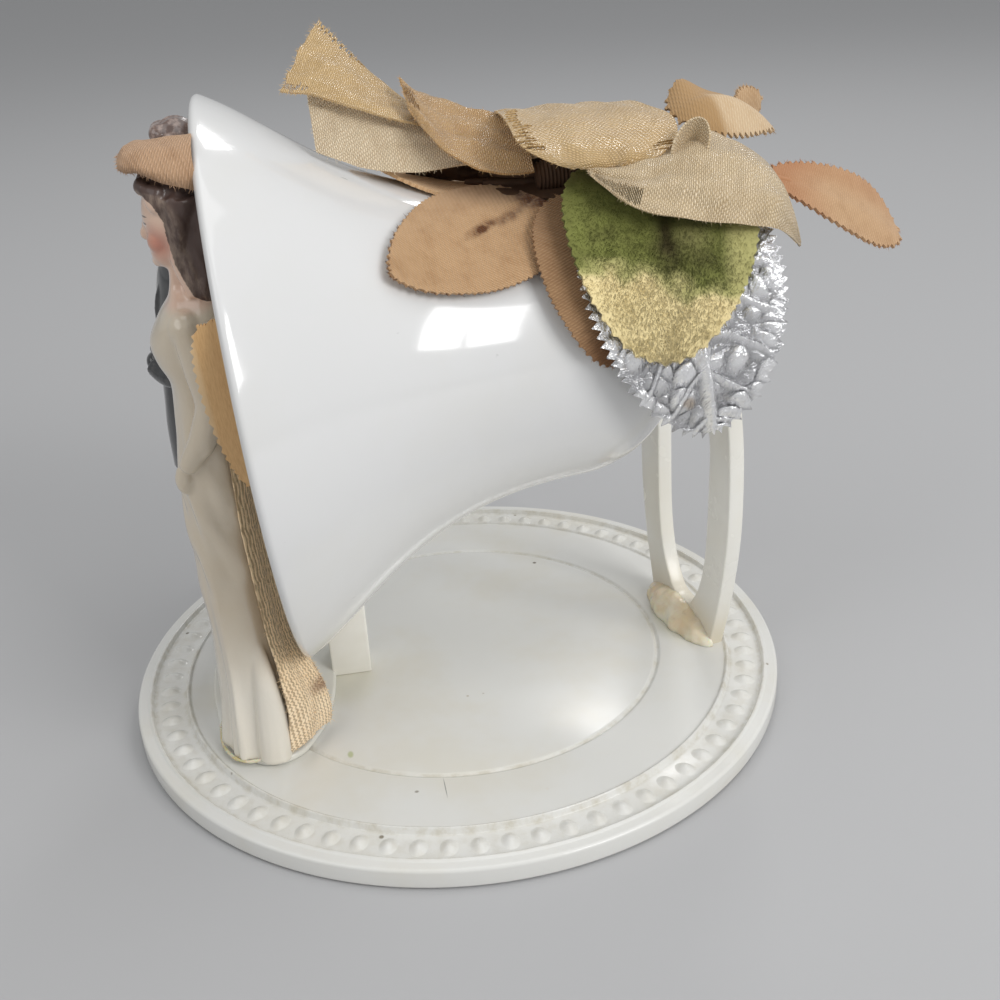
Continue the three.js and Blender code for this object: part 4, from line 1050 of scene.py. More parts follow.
# Rows from the back of the headpiece to its tip: way back, height, half width and droop of its sides.
HEADPIECE_CROWN = [
    (4.1, 75.2, 4.7, 4.5), (1.6, 75.1, 4.9, 3.6), (-1, 74.9, 4.5, 2.2), (-2.6, 74.6, 3.5, 1.8),
    (-3.4, 73.8, 2.3, 1)]
HEADPIECE_ROUND = 1.25
CLOTH_THICKNESS = 0.4 * MM


def sheet_grid(name, columns, rows, spot):
    """A grid of cloth. spot(along, across), from 0 to 1 and from -1 to 1, gives a point's place and where
    it lies on the flat cloth, both in millimetres; the second becomes the UV map."""
    bpy.ops.object.select_all(action="DESELECT")
    bpy.ops.mesh.primitive_grid_add(x_subdivisions=columns, y_subdivisions=rows, size=2, calc_uvs=True)
    piece = bpy.context.object
    piece.name = name
    flat = []
    for vertex in piece.data.vertices:
        place, (across_cloth, along_cloth) = spot((vertex.co.x + 1) / 2, vertex.co.y)
        flat.append((across_cloth, along_cloth))
        vertex.co = place * MM
    turned = [number for loop in piece.data.loops for number in flat[loop.vertex_index]]
    piece.data.uv_layers.active.data.foreach_set("uv", turned)
    return piece


def hairs(name, roots, length, radius, chance):
    """Fine tapering fibres from (place, direction) roots in millimetres, each bent a little its own way."""
    points, faces = [], []
    for root, away in roots:
        stray = Vector([chance.uniform(-1, 1) for axis in range(3)])
        ahead = (away + 0.55 * stray).normalized()
        side = ahead.orthogonal().normalized()
        other = ahead.cross(side)
        long = length * chance.uniform(0.35, 1)
        curl = 0.4 * long * Vector([chance.uniform(-1, 1) for axis in range(3)])
        first = len(points)
        for reach, size, bent in ((0, 1, 0), (0.55, 0.8, 0.3)):
            middle = root + ahead * long * reach + curl * bent
            for turn in (0, math.tau / 3, 2 * math.tau / 3):
                points.append(middle + radius * size * (side * math.cos(turn) + other * math.sin(turn)))
        points.append(root + ahead * long + curl)
        faces.append((first + 2, first + 1, first))
        for a, b in ((0, 1), (1, 2), (2, 0)):
            faces.append((first + a, first + b, first + b + 3, first + a + 3))
            faces.append((first + a + 3, first + b + 3, first + 6))
    return from_points(name, points, faces)


def edge_roots(spot, count, chance, alongs=(0, 1), sides=(-1, 1)):
    """Roots for fibres along the side edges of a cloth."""
    roots = []
    for index in range(count):
        along = chance.uniform(*alongs)
        side = chance.choice(sides)
        edge, inside = spot(along, side)[0], spot(along, side * 0.85)[0]
        roots.append((edge.lerp(inside, 0.1), (edge - inside).normalized()))
    return roots


def end_roots(spot, count, chance, end):
    """Roots for fibres along a cut end of a cloth, at along 0 or 1."""
    roots = []
    for index in range(count):
        across = chance.uniform(-1, 1)
        edge, inside = spot(end, across)[0], spot(abs(end - 0.06), across)[0]
        roots.append((edge.lerp(inside, 0.1), (edge - inside).normalized()))
    return roots


# Twill on a flat map in millimetres: slanting ribs, each broken into short floats.
twill, given, result = new_group(
    "twill",
    [("Flat", "NodeSocketVector", None), ("Pitch", "NodeSocketFloat", 0.4),
     ("Wear", "NodeSocketFloat", 0.5)],
    [("Height", "NodeSocketFloat"), ("Blotch", "NodeSocketFloat")])
wander = noise_node(twill, given["Flat"], 0.9, 2)
flat = three_of(twill, given["Flat"])
slant = plus(twill, flat["Y"], times(twill, flat["X"], -0.4))
slant = plus(twill, slant, times(twill, wander, 0.14))
turns = times(twill, math_node(twill, "DIVIDE", slant, given["Pitch"]), math.tau)
rib = times(twill, plus(twill, math_node(twill, "SINE", turns), 1), 0.5)
steps = times(twill, math_node(twill, "DIVIDE", flat["X"], given["Pitch"]), math.pi)
steps = plus(twill, steps, times(twill, turns, 0.5))
floats = times(twill, plus(twill, math_node(twill, "SINE", steps), 1), 0.5)
cover = plus(twill, times(twill, floats, 0.65), 0.35)
fuzz_noise = noise_node(twill, given["Flat"], 6, 3, 0.7)
fuzz_noise = times(twill, math_node(twill, "SUBTRACT", fuzz_noise, 0.5), given["Wear"])
height = plus(twill, times(twill, rib, cover), fuzz_noise, clamp=True)
twill.links.new(height, result.inputs["Height"])
twill.links.new(noise_node(twill, given["Flat"], 0.35, 4, 0.6), result.inputs["Blotch"])


def cloth_map(tree):
    """The place on the flat cloth."""
    return put(tree, "ShaderNodeUVMap").outputs["UV"]


def cloth(name, thread, hollow_shade, pitch, wear=0.5, relief=0.5):
    """Twill, with painted shade in its hollows; also returns the flat place and the colour, open to stains.
    """
    material, tree, shader = new_material(name)
    flat = cloth_map(tree)
    weave = place_group(tree, twill, {"Flat": flat, "Pitch": pitch, "Wear": wear})
    # The weave's low places take the darker colour: painted shade between the threads.
    depth = times(tree, one_minus(tree, weave["Height"]), 0.6)
    tint = times(tree, band(tree, weave["Blotch"], 0.4, 0.75), 0.35)
    colour = mixed(tree, plus(tree, depth, tint, clamp=True), thread, hollow_shade)
    bumped(tree, shader, relief, 0.12 * MM, weave["Height"])
    feed(tree, shader, {
        "Base Color": colour, "Roughness": 0.85, "Specular IOR Level": 0.2, "Sheen Weight": 0.15})
    return material, tree, shader, flat, colour


crown = flowing(HEADPIECE_CROWN, 24)


def headpiece_spot(along, across):
    y, height, half, droop = crown[round(along * (len(crown) - 1))]
    lean = HEADPIECE_ROUND * across
    fall = droop * (1 - math.cos(lean)) / (1 - math.cos(HEADPIECE_ROUND))
    roll = max(0, abs(across) - 0.82) / 0.18
    crumple = 0.3 * noise.noise(Vector((along * 4, across * 3, 1)))
    x = half * math.sin(lean) / math.sin(HEADPIECE_ROUND) - math.copysign(0.75 * roll ** 2, across)
    place = Vector((x, y + 0.5 * crumple, height - fall - 0.25 * roll + crumple)) + bride_place / MM
    return place, (across * half * 1.15, (4.1 - y) * 1.15)


chance = random.Random(11)
headpiece = sheet_grid("headpiece_cloth", 48, 48, headpiece_spot)
finish_with(headpiece, "SOLIDIFY", thickness=CLOTH_THICKNESS, offset=0)
roots = end_roots(headpiece_spot, 160, chance, 1) + edge_roots(headpiece_spot, 220, chance)
joined([headpiece, hairs("headpiece_fray", roots, 0.8, 0.04, chance)])
smooth(headpiece, 60)
material, tree, shader, flat, colour = cloth(
    "headpiece_twill", TWILL_TAN, TWILL_HOLLOW_SHADE, 0.32, wear=1.2, relief=1.0)
fit(headpiece, material, nodes=["bride_headpiece"])


# Veil
# A narrow strip of beige knitted lace that hangs behind the bride from under the headpiece to the plinth.
# Its chains run down its length, and brown glue has soaked in near its foot.
VEIL_HALF = 7
VEIL_SHIFT = 0.8
VEIL_FALL = [
    (61, 4.5), (57, 4.5), (46, 4.7), (30, 5.1), (17, 5.7), (12, 6.8), (8.7, 8.2), (6, 9.2), (3, 9.6),
    (0.9, 9.4)]
VEIL_EDGE = [
    (-2, 4.6), (1, 4.8), (6.1, 5.2), (12.9, 4.6), (16.2, 4.1), (22.4, 3.6), (31.5, 3), (50, 2.9), (65, 3.4)]
VEIL_FOLD = 0.35
VEIL_CHAINS = 38
VEIL_COLUMNS = 190
VEIL_MAP_LENGTH = 64
VEIL_THICKNESS = 0.24 * MM
VEIL_LOOSE_THREADS = 1500
veil_fall = flowing(VEIL_FALL, 40)


def veil_spot(along, across):
    height, back = veil_fall[min(round(along * (len(veil_fall) - 1)), len(veil_fall) - 1)]
    half = VEIL_HALF * (0.18 + 0.39 * min(1, along / 0.25) + 0.4 * along)
    fold = VEIL_FOLD * (0.4 + along) * math.sin(3 * math.pi * across)
    chain = 0.06 * abs(math.sin(VEIL_CHAINS * math.pi * (across + 1) / 2))
    loop = 0.03 * math.sin(along * 420 + 1.2 * math.sin(VEIL_CHAINS * math.pi * across))
    y = back + 0.3 + fold * (1 - across ** 2) + chain + loop
    y += (line_at(VEIL_EDGE, height) - back - 0.3) * across ** 2
    ragged = 0.35 * noise.noise(Vector((across * 6, 3, 0))) * max(0, along - 0.97) / 0.03
    place = Vector((VEIL_SHIFT + half * across, y, height + ragged)) + bride_place / MM
    return place, (across * half, VEIL_MAP_LENGTH * along)


rows = VEIL_CHAINS * 4
veil = sheet_grid("veil_lace", VEIL_COLUMNS, rows, veil_spot)
gaps = {index for index in range(VEIL_COLUMNS * rows)
        if index // VEIL_COLUMNS % 4 == 0 and index % VEIL_COLUMNS % 3 == 1
        and index // VEIL_COLUMNS > 0 and noise.noise(Vector((index * 0.37, index // 200, 0))) > 0.25}
use_only(veil)
pick(veil, "FACE", lambda face: face.index in gaps)
bpy.ops.mesh.delete(type="FACE")
bpy.ops.object.mode_set(mode="OBJECT")
finish_with(veil, "SOLIDIFY", thickness=VEIL_THICKNESS, offset=0)
roots = edge_roots(veil_spot, 140, chance) + end_roots(veil_spot, 50, chance, 1)
for index in range(VEIL_LOOSE_THREADS):
    root = veil_spot(chance.uniform(0.2, 1), chance.uniform(-0.98, 0.98))[0]
    roots.append((root, Vector((chance.uniform(-0.3, 0.8), 0.7, chance.uniform(-0.8, 0.8))).normalized()))
veil_threads = hairs("veil_threads", roots, 0.8, 0.03, chance)
smooth(veil, 60)
material, tree, shader = new_material("veil_lace")
flat = cloth_map(tree)
apart = three_of(tree, flat)
colour = mixed(tree, band(tree, apart["Y"], 20, 60), (0.84, 0.66, 0.42, 1), (0.9, 0.75, 0.54, 1))
curls = times(tree, noise_node(tree, flat, 1.3, 3, 0.6), 3.2)
curls = plus(tree, curls, math_node(tree, "SINE", times(tree, apart["Y"], 4.2)))
chains = times(tree, apart["X"], math.tau / 0.38)
chains = math_node(tree, "SINE", plus(tree, chains, curls))
threads = plus(tree, times(tree, chains, 0.2), noise_node(tree, flat, 2.6, 4, 0.7))
shaded = mixed(tree, 1.0, colour, (0.58, 0.52, 0.45, 1), "MULTIPLY")
lit = mixed(tree, 1.0, colour, (1.16, 1.13, 1.1, 1), "MULTIPLY")
colour = mixed(tree, band(tree, threads, 0.3, 0.66), shaded, lit)
blot = noise_node(tree, flat, 0.28, 3, 0.6)
soaked = spot_mask(tree, flat, (0, 48, 0), (4.5, 4.5, 5), 0.9)
soaked = times(tree, soaked, band(tree, blot, 0.36, 0.5))
colour = mixed(tree, soaked, colour, (0.24, 0.12, 0.06, 1))
feed(tree, shader, {"Base Color": colour, "Roughness": 0.8, "Sheen Weight": 0.2})
bumped(tree, shader, 0.6, 0.15 * MM, threads)
fit(veil, material, nodes=["bride_veil"])
fit(veil_threads, material)


# Binding
# Brown thread wound round the stems of the spray, with flaps of dark tape, lying along the top of the
# bell under the bow. The tape and the stems fill the hollow under the bow, and their near-black colour,
# like the thread's, is partly their own brown and partly painted shade of that hollow. It is glued to the
# bell and holds the stems of all the leaves.
BINDING_RADIUS = 1.9
BINDING_LENGTH = 12
BINDING_THREAD = 0.45
TAPE_THICKNESS = 0.3 * MM
FLARE = [(0, 35.2), (9.5, 30.2), (16, 18.9), (38.25, 18.9)]


def flare_at(share):
    weights = [(1 - share) ** 3, 3 * share * (1 - share) ** 2, 3 * share ** 2 * (1 - share), share ** 3]
    return tuple(sum(weight * point[axis] for weight, point in zip(weights, FLARE)) for axis in (0, 1))


flare_line = [flare_at(step / 60) for step in range(61)]


def bell_point(station, turn, lift):
    """A place in millimetres over the bell, from the way along it, the angle off its top and the height."""
    reach = line_at(flare_line, max(station, 0)) + lift
    angle = math.radians(turn)
    outward = upward * math.cos(angle) + Vector((1, 0, 0)) * math.sin(angle)
    return MOUTH_PLACE / MM + lengthwise * station + outward * reach


lengthwise = Vector((0, math.cos(BELL_TILT), math.sin(BELL_TILT)))
upward = Vector((0, -math.sin(BELL_TILT), math.cos(BELL_TILT)))
low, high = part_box("spray_binding")
middle = (low + high) / 2 / MM
rings = []
for step in range(161):
    share = step / 160
    ends = min(1, 8 * share, 8 * (1 - share)) ** 0.5
    ring = []
    for turn in range(28):
        angle = turn / 28 * math.tau
        coil = math.tau * share * BINDING_LENGTH / BINDING_THREAD - angle
        radius = BINDING_RADIUS * (0.78 + 0.22 * ends) + 0.1 * math.cos(coil) - 0.1
        ring.append(middle + lengthwise * BINDING_LENGTH * (share - 0.5)
                    + radius * (upward * math.cos(angle) - Vector((1, 0, 0)) * math.sin(angle)))
    rings.append(ring)
binding = lofted("stem_binding", rings)
stems = []
for turn, rise, end, size, slew in (
        (5, 1.1, 29, 0.5, 0.5), (8, 1.3, 31, 0.55, 0.4), (1, 1.5, 31, 0.5, 0.9), (9, 2.4, 32, 0.4, 0.7)):
    stems.append(limb([(*bell_point(station, turn + slew * (station - 36), rise), size * swell)
                       for station, swell in ((end, 0.5), (end + 1.2, 0.9), (35, 1.1), (40, 0.9))]))


def shade_tape_spot(along, across):
    crumple = noise.noise(Vector((along * 6, across * 2, 9)))
    rise = 0.7 + 2.3 * (across + 1) * math.sin(math.pi * min(1, 0.12 + along)) ** 0.5
    turn = -5 + 4 * crumple + 3 * across
    return bell_point(22.5 + 23 * along, turn, rise + 0.4 * crumple), (across, along)


def shade_wrap_spot(along, across):
    crumple = noise.noise(Vector((along * 5, across * 2, 4)))
    return bell_point(32 + 16 * along, 9 + 11 * across, 1.1 - 0.3 * across + 0.3 * crumple), (across, along)


# The tape and the wrap are dark sheets laid in the hollow under the bow, standing partly for painted shade.
shade_tape = sheet_grid("stem_shade_tape", 60, 14, shade_tape_spot)
finish_with(shade_tape, "SOLIDIFY", thickness=TAPE_THICKNESS, offset=0)
shade_wrap = sheet_grid("stem_shade_wrap", 40, 16, shade_wrap_spot)
finish_with(shade_wrap, "SOLIDIFY", thickness=TAPE_THICKNESS, offset=0)
joined([binding, shade_tape, shade_wrap, *stems])
smooth(binding, 70)
# Near-black brown: the thread's own brown darkened into painted shade of the hollow under the bow.
material, tree, shader = new_material("binding_thread_and_shade")
place = object_place(tree)
cloud = noise_node(tree, place, 900, 3)
feed(tree, shader, {
    "Base Color": mixed(tree, cloud, (0.045, 0.023, 0.013, 1), (0.13, 0.068, 0.035, 1)), "Roughness": 0.8})
fit(binding, material, nodes=["spray_binding"])


# Leaves lying on the bell
# Pinked leaves of tan cloth, browned by age, their stems caught under the binding: a broad one on the near
# side, one lying edge-on along the top and one hanging down beside the green leaf.
BINDING_EDGE = 18.58


def on_bell(station, turn, heading):
    """How a leaf laid on the bell turns a flat place and a lift into a place in millimetres."""
    cosine, sine = math.cos(math.radians(heading)), math.sin(math.radians(heading))

    def place(along, across, lift):
        here = station + along * cosine - across * sine
        arc = along * sine + across * cosine
        reach = line_at(flare_line, max(here, 0)) + lift
        return bell_point(here, BINDING_EDGE + turn + math.degrees(arc / reach), lift)
    return place


def lift_at(lift, t):
    """The height at t of a bend through the heights of a leaf's root, middle and tip."""
    root, middle, tip = lift
    return (1 - t) * ((1 - 2 * t) * root + 4 * t * middle) + t * (2 * t - 1) * tip


def leaf_spot(length, width, lift, place, petiole=0.6, cup=0, belly=0.8, blunt=0.5, teeth=40, tooth=0.3,
              relief=None):
    """The points of a leaf: its edge follows even steps round a rounded outline, with teeth cut into it."""
    def spot(turn, across):
        angle = math.pi * turn
        blade = (1 - math.cos(angle)) / 2
        half = width / 2 * math.sin(math.pi * blade ** belly) ** blunt if 0 < turn < 1 else 0.05
        cut = tooth * (abs((turn * teeth) % 1 - 0.5) * 2 - 0.5) * abs(across) ** 6
        outward = Vector((-width * math.cos(angle), length * math.sin(angle))).normalized()
        along = petiole + (length - petiole) * blade + cut * outward.x
        off = across * half + math.copysign(cut, across) * outward.y
        t = min(max(along / length, 0), 1)
        rise = lift_at(lift, t) + cup * (off / (width / 2)) ** 2 + (relief(t, off) if relief else 0)
        return place(along, off, rise), (off, along)
    return spot


def cloth_leaf(name, spot, fray, fray_length, columns=208, rows=36):
    leaf = sheet_grid(name, columns, rows, spot)
    finish_with(leaf, "SOLIDIFY", thickness=CLOTH_THICKNESS, offset=0)
    if fray:
        joined([leaf, hairs(name + "_fray", edge_roots(spot, fray, chance), fray_length, 0.03, chance)])
    smooth(leaf, 60)
    return leaf


def veined(depth, waver, seed):
    """A relief with a pressed middle vein and an uneven lie."""
    def relief(t, off):
        vein = -depth * math.exp(-(off / 0.5) ** 2) * (1 - t)
        return vein + waver * noise.noise(Vector((t * 3, off / 5, seed)))
    return relief


near_spot = leaf_spot(
    23.6, 15.6, (1.2, 1.2, 1.6), on_bell(36.8, -0.2, 144.8), belly=0.55, blunt=0.66, teeth=24, tooth=0.55,
    relief=veined(0.25, 0.4, 2))
near_leaf = cloth_leaf("near_leaf_cloth", near_spot, 420, 0.5)
material, tree, shader, flat, colour = cloth(
    "near_leaf_twill", (0.7, 0.46, 0.26, 1), (0.42, 0.235, 0.11, 1), 0.31, relief=0.9)
worn = band(tree, noise_node(tree, flat, 0.5, 4, 0.65), 0.35, 0.6)
for centre, half, soft, strength in (
        ((0.3, 9.5, 0), (0.9, 3.5, 1), 0.9, 1), ((-0.3, 5.5, 0), (1.2, 3, 1), 0.9, 0.7),
        ((0, 0.5, 0), (5, 3.6, 1), 0.85, 1), ((-7, 4.5, 0), (3.2, 6, 1), 0.9, 0.55)):
    spot = times(tree, spot_mask(tree, flat, centre, half, soft), strength)
    spot = times(tree, spot, plus(tree, worn, 0.4), clamp=True)
    colour = mixed(tree, spot, colour, (0.13, 0.05, 0.018, 1))
feed(tree, shader, {"Base Color": colour})
fit(near_leaf, material, nodes=["leaf_near"])

top_spot = leaf_spot(
    19.5, 14, (0.7, 0.6, 1.5), on_bell(36.4, -22.8, 186), teeth=18, tooth=0.5, relief=veined(0.2, 0.3, 5))
top_leaf = cloth_leaf("top_leaf_cloth", top_spot, 260, 0.5)
# Its colours are lighter than the other tan leaves': painted light that offsets the shade of the ribbon's
# tail.
material, tree, shader, flat, colour = cloth(
    "top_leaf_twill", (0.86, 0.59, 0.34, 1), (0.6, 0.37, 0.19, 1), 0.33)
fit(top_leaf, material, nodes=["leaf_top"])

hanging_spot = leaf_spot(
    23, 12, (2, 2.2, 1.3), on_bell(39.8, 1, 88), petiole=1.6, teeth=22, tooth=0.7,
    relief=veined(0.3, 0.5, 8))
hanging_leaf = cloth_leaf("hanging_leaf_cloth", hanging_spot, 320, 0.55)
material, tree, shader, flat, colour = cloth(
    "hanging_leaf_twill", (0.46, 0.28, 0.15, 1), (0.24, 0.13, 0.06, 1), 0.33, relief=0.8)
colour = painted(tree, colour, (0.2, 0.09, 0.04, 1), flat, (0, 22, 0), (5, 5, 1), 0.8, 0.7)
feed(tree, shader, {"Base Color": colour})
fit(hanging_leaf, material, nodes=["leaf_hanging"])


# Leaf at the bell's lip
# A narrow leaf of smooth peach-tan satin with scalloped edges, stuck by its root under the bell's lip so
# that it hangs beside the bride.
def in_air(root, reach, facing):
    """How a leaf held out on its stem turns a flat place and a lift into a place in millimetres."""
    ahead = Vector(reach).normalized()
    side = Vector(facing).cross(ahead).normalized()
    normal = ahead.cross(side)

    def place(along, across, lift):
        return root + ahead * along + side * across + normal * lift
    return place


SIDE_REACH = (-1.2, 1.4, -19.4)
side_root = bell_point(-1.2, 57.5, -2.1)
side_length = Vector(SIDE_REACH).length
side_spot = leaf_spot(
    side_length, 5.7, (0, 0.4, 0), in_air(side_root, SIDE_REACH, (1, -0.2, 0)), belly=0.62, blunt=0.45,
    teeth=12, tooth=0.75, relief=veined(0.1, 0.25, 3))
side_leaf = cloth_leaf("side_leaf_satin", side_spot, 60, 0.3)
material, tree, shader = new_material("peach_satin")
flat = cloth_map(tree)
streaks = put(tree, "ShaderNodeMapping", {"Vector": flat, "Scale": (5, 0.6, 1)}).outputs["Vector"]
sheen = noise_node(tree, streaks, 1.5, 3, 0.6)
colour = mixed(tree, band(tree, sheen, 0.35, 0.7), (0.72, 0.45, 0.2, 1), (0.63, 0.37, 0.155, 1))
off = math_node(tree, "ABSOLUTE", three_of(tree, flat)["X"])
rim = times(tree, band(tree, off, 2, 2.8), 0.6)
colour = mixed(tree, rim, colour, (0.8, 0.6, 0.36, 1))
feed(tree, shader, {"Base Color": colour, "Roughness": 0.5, "Sheen Weight": 0.2})
fit(side_leaf, material, nodes=["leaf_side"])


# Silver leaf
# A leaf stamped from paper-backed silver foil, with pointed teeth and an embossed pattern of veins and
# pebbles. It hangs behind the green leaf, its stem under the binding.
FOIL_LENGTH = 35.9
FOIL_WIDTH = 21.9
FOIL_VEINS = 6
FOIL_THICKNESS = 0.14 * MM


def flat_places(piece):
    """Where each vertex of a cloth lies on it when it is flat."""
    flat = {}
    for loop, corner in zip(piece.data.loops, piece.data.uv_layers.active.data):
        flat[loop.vertex_index] = corner.uv.copy()
    return [flat[vertex.index] for vertex in piece.data.vertices]


def foil_shape(t, off):
    """Stamped veins with pebbles between them, from 0 in the creases to 1 on the crests."""
    sweep = t * FOIL_VEINS - 0.15 * abs(off) + 0.22 * noise.noise(Vector((t * 9, off / 3, 8)))
    between = abs((sweep % 1) - 0.5) * 2
    vein = math.exp(-(between / 0.16) ** 2) * 0.6
    middle = math.exp(-(off / 0.7) ** 2)
    spot = Vector((t * FOIL_LENGTH, off, 0)) / 2.9
    near, next_near = noise.voronoi(spot)[0][:2]
    dome = max(0, 1 - 1.5 * near * near) * min(1, (next_near - near) / 0.3) ** 0.6
    return max(vein, middle, dome * min(1, between * 3))


def foil_relief(t, off):
    edge = FOIL_WIDTH / 2 * math.sin(math.pi * min(max(t, 0.01), 0.99) ** 0.81) ** 0.55 - abs(off)
    inside = min(1, max(0, edge / 1.6))
    spot = Vector((t * FOIL_LENGTH, off, 5))
    return inside * (1.15 * foil_shape(t, off) - 0.55 + 0.1 * noise.noise(spot / 0.7))


foil_spot = leaf_spot(
    FOIL_LENGTH, FOIL_WIDTH, (3.2, 3.5, 2.6), on_bell(47.6, 1.7, 82.7), petiole=1.6, belly=0.81, blunt=0.55,
    teeth=23, tooth=1.9, relief=foil_relief)
foil_leaf = sheet_grid("silver_leaf_foil", 300, 120, foil_spot)
crests = [foil_shape(along / FOIL_LENGTH, off) for off, along in flat_places(foil_leaf)]
keep_value(foil_leaf, "crest", crests)
finish_with(foil_leaf, "SOLIDIFY", thickness=FOIL_THICKNESS, offset=0)
smooth(foil_leaf, 50)
material, tree, shader = new_material("silver_foil")
flat = cloth_map(tree)
tarnish = band(tree, noise_node(tree, flat, 0.3, 4, 0.65), 0.55, 0.8)
crest = stored(tree, "crest")
# Grey in the creases and near white on the crests: painted shade and painted highlight over the stamped
# relief.
colour = mixed(tree, band(tree, crest, 0, 0.7), (0.5, 0.5, 0.51, 1), (0.97, 0.97, 0.98, 1))
colour = stain_and_shade(tree, colour, (0.5, 0.46, 0.4, 1), tarnish, 0.5)
colour = painted(tree, colour, (0.42, 0.3, 0.18, 1), flat, (2.5, 30.5, 0), (1.1, 0.9, 1), 0.7, 0.6)
feed(tree, shader, {"Base Color": colour, "Metallic": 0.8})
feed(tree, shader, {"Roughness": spread(tree, noise_node(tree, flat, 2, 3), 0.14, 0.3)})
bumped(tree, shader, 0.9, 0.4 * MM, noise_node(tree, flat, 1.9, 3, 0.55))
fit(foil_leaf, material, nodes=["leaf_foil"])


# Green leaf
# A leaf of velvet with a deep pile, dyed dark green towards its stem and faded to straw at its tip. Its
# stem is under the binding and it lies over the silver leaf.
VELVET_LENGTH = 27
VELVET_WIDTH = 21.6
PILE_COUNT = 34000
PILE_LENGTH = 0.9


def velvet_lie(t, off):
    return -0.35 * math.exp(-(off / 0.9) ** 2) * (1 - t) + 0.5 * noise.noise(Vector((t * 2.5, off / 7, 4)))


velvet_spot = leaf_spot(
    VELVET_LENGTH, VELVET_WIDTH, (4.4, 4.6, 4.4), on_bell(50.3, -0.2, 99.4), petiole=1, belly=0.64,
    blunt=0.43, teeth=18, tooth=1, relief=velvet_lie)


def velvet_dye(off, along):
    """How dark the dye is and how far it has faded to straw at a place on the flat leaf."""
    def blot(centre_off, half_off, centre_along, half_along):
        return math.exp(-((off - centre_off) / half_off) ** 2 - ((along - centre_along) / half_along) ** 2)
    cloudy = noise.noise(Vector((off / 1.7, along / 1.7, 12)))
    limit = 16.6 - 1.2 * min(1, max(-1, (off - 0.5) / 1.8))
    limit += 2.2 * noise.noise(Vector((off / 3, along / 3, 7)))
    faded = min(1, max(0, (along - limit) / 3 + 0.3 * cloudy))
    vein, patch, olive = blot(-0.3, 1, 12.8, 4.2), blot(-2.6, 4, 16, 1.7), blot(-3, 2.6, 13.2, 2.4)
    faded = max(faded * (1 - 0.7 * patch), 0.3 * olive, 0.5 * min(1, max(0, (-6 - off) / 2)))
    dark = 0.75 * vein + 0.3 * patch + 0.3 * olive + (0.25 + 0.3 * cloudy) * (1 - faded)
    return min(1, max(0, dark)), faded


velvet = cloth_leaf("green_leaf_velvet", velvet_spot, 0, 0, columns=96, rows=40)
points, faces, shade, straw = [], [], [], []
while len(faces) < PILE_COUNT * 3:
    turn, across = chance.random(), chance.uniform(-1, 1)
    angle = math.pi * turn
    if chance.random() > math.sin(angle) ** 1.6 + 0.02:
        continue
    root, (off, along) = velvet_spot(turn, across)
    beyond, beside = velvet_spot(min(turn + 0.01, 1), across)[0], velvet_spot(turn, across + 0.02)[0]
    ahead, side = (beyond - root).normalized(), (beside - root).normalized()
    normal = side.cross(ahead)
    normal = normal if normal.dot(root - MOUTH_PLACE / MM) > 0 else -normal
    tuft = Vector((off / 1.3, along / 1.3, 2.4))
    onward, aside = 0.75 + 0.4 * noise.noise(tuft), 0.2 * across + 0.4 * noise.noise(-tuft)
    lean = normal * 0.4 + ahead * onward + side * aside
    lean += Vector([chance.uniform(-0.3, 0.3) for axis in range(3)])
    tip = root + lean.normalized() * PILE_LENGTH * chance.uniform(0.55, 1.1) * (1 - 0.25 * abs(across) ** 4)
    wide = side * chance.uniform(0.05, 0.085)
    thick = lean.cross(wide).normalized() * 0.05
    first = len(points)
    points += [root + wide, root - wide, root + thick, tip]
    for a, b in ((0, 1), (1, 2), (2, 0)):
        faces.append((first + a, first + b, first + 3))
    dark, faded = velvet_dye(off, along)
    shade += [min(1, max(0, dark + chance.uniform(-0.06, 0.06)))] * 4
    straw += [min(1, max(0, faded + chance.uniform(-0.1, 0.1)))] * 4
pile = from_points("green_leaf_pile", points, faces)
keep_value(pile, "shade", shade)
keep_value(pile, "straw", straw)
smooth(pile, 180)
material, tree, shader = new_material("velvet_pile")
faded = stored(tree, "straw")
dark = stored(tree, "shade")
colour = mixed(tree, band(tree, faded, 0, 0.5), (0.24, 0.26, 0.065, 1), (0.56, 0.53, 0.21, 1))
colour = mixed(tree, band(tree, faded, 0.45, 1), colour, (0.95, 0.79, 0.42, 1))
colour = mixed(tree, dark, colour, (0.05, 0.04, 0.01, 1))
feed(tree, shader, {
    "Base Color": colour, "Roughness": 0.75, "Specular IOR Level": 0.2, "Sheen Weight": 0.2,
    "Sheen Roughness": 0.5})
fit(pile, material)
dyes = [velvet_dye(off, along) for off, along in flat_places(velvet)]
keep_value(velvet, "shade", [dark for dark, faded in dyes])
keep_value(velvet, "straw", [faded for dark, faded in dyes])
fit(velvet, material, nodes=["leaf_velvet"])


# Wired leaves
# Three small frayed leaves of the same tan cloth on wires that leave the end of the binding: a long one
# behind, salmon at its root, a folded one standing high and a little one. Each is a body of its own.
REAR_ROOT = Vector((4.746, 25.803, 70.163))
REAR_REACH = (-4.2, 35.2, -13.1)
HIGH_ROOT = Vector((3.301, 25.783, 70.443))
HIGH_REACH = (-4.6, 18.4, 1.2)
SMALL_ROOT = Vector((1.839, 25.77, 70.622))
SMALL_REACH = (-13.1, 19.4, 2.4)
WIRE_SINK = 0.15


def wired_leaf(name, root, reach, facing, width, petiole, lift, wire_radius, fray, **shape):
    """A cloth leaf on a wire, as one object: the wire runs from the root into the middle of the blade."""
    place = in_air(root, reach, facing)
    length = Vector(reach).length
    spot = leaf_spot(length, width, lift, place, petiole=petiole, **shape)
    leaf = cloth_leaf(name, spot, fray, 0.55, columns=160, rows=28)
    joints = []
    for step in range(9):
        t = step / 8 * (petiole + 3) / length
        joints.append((*place(t * length, 0, lift_at(lift, t) - WIRE_SINK), wire_radius))
    wire = limb(joints)
    joined([leaf, wire])
    smooth(leaf, 60)
    return leaf


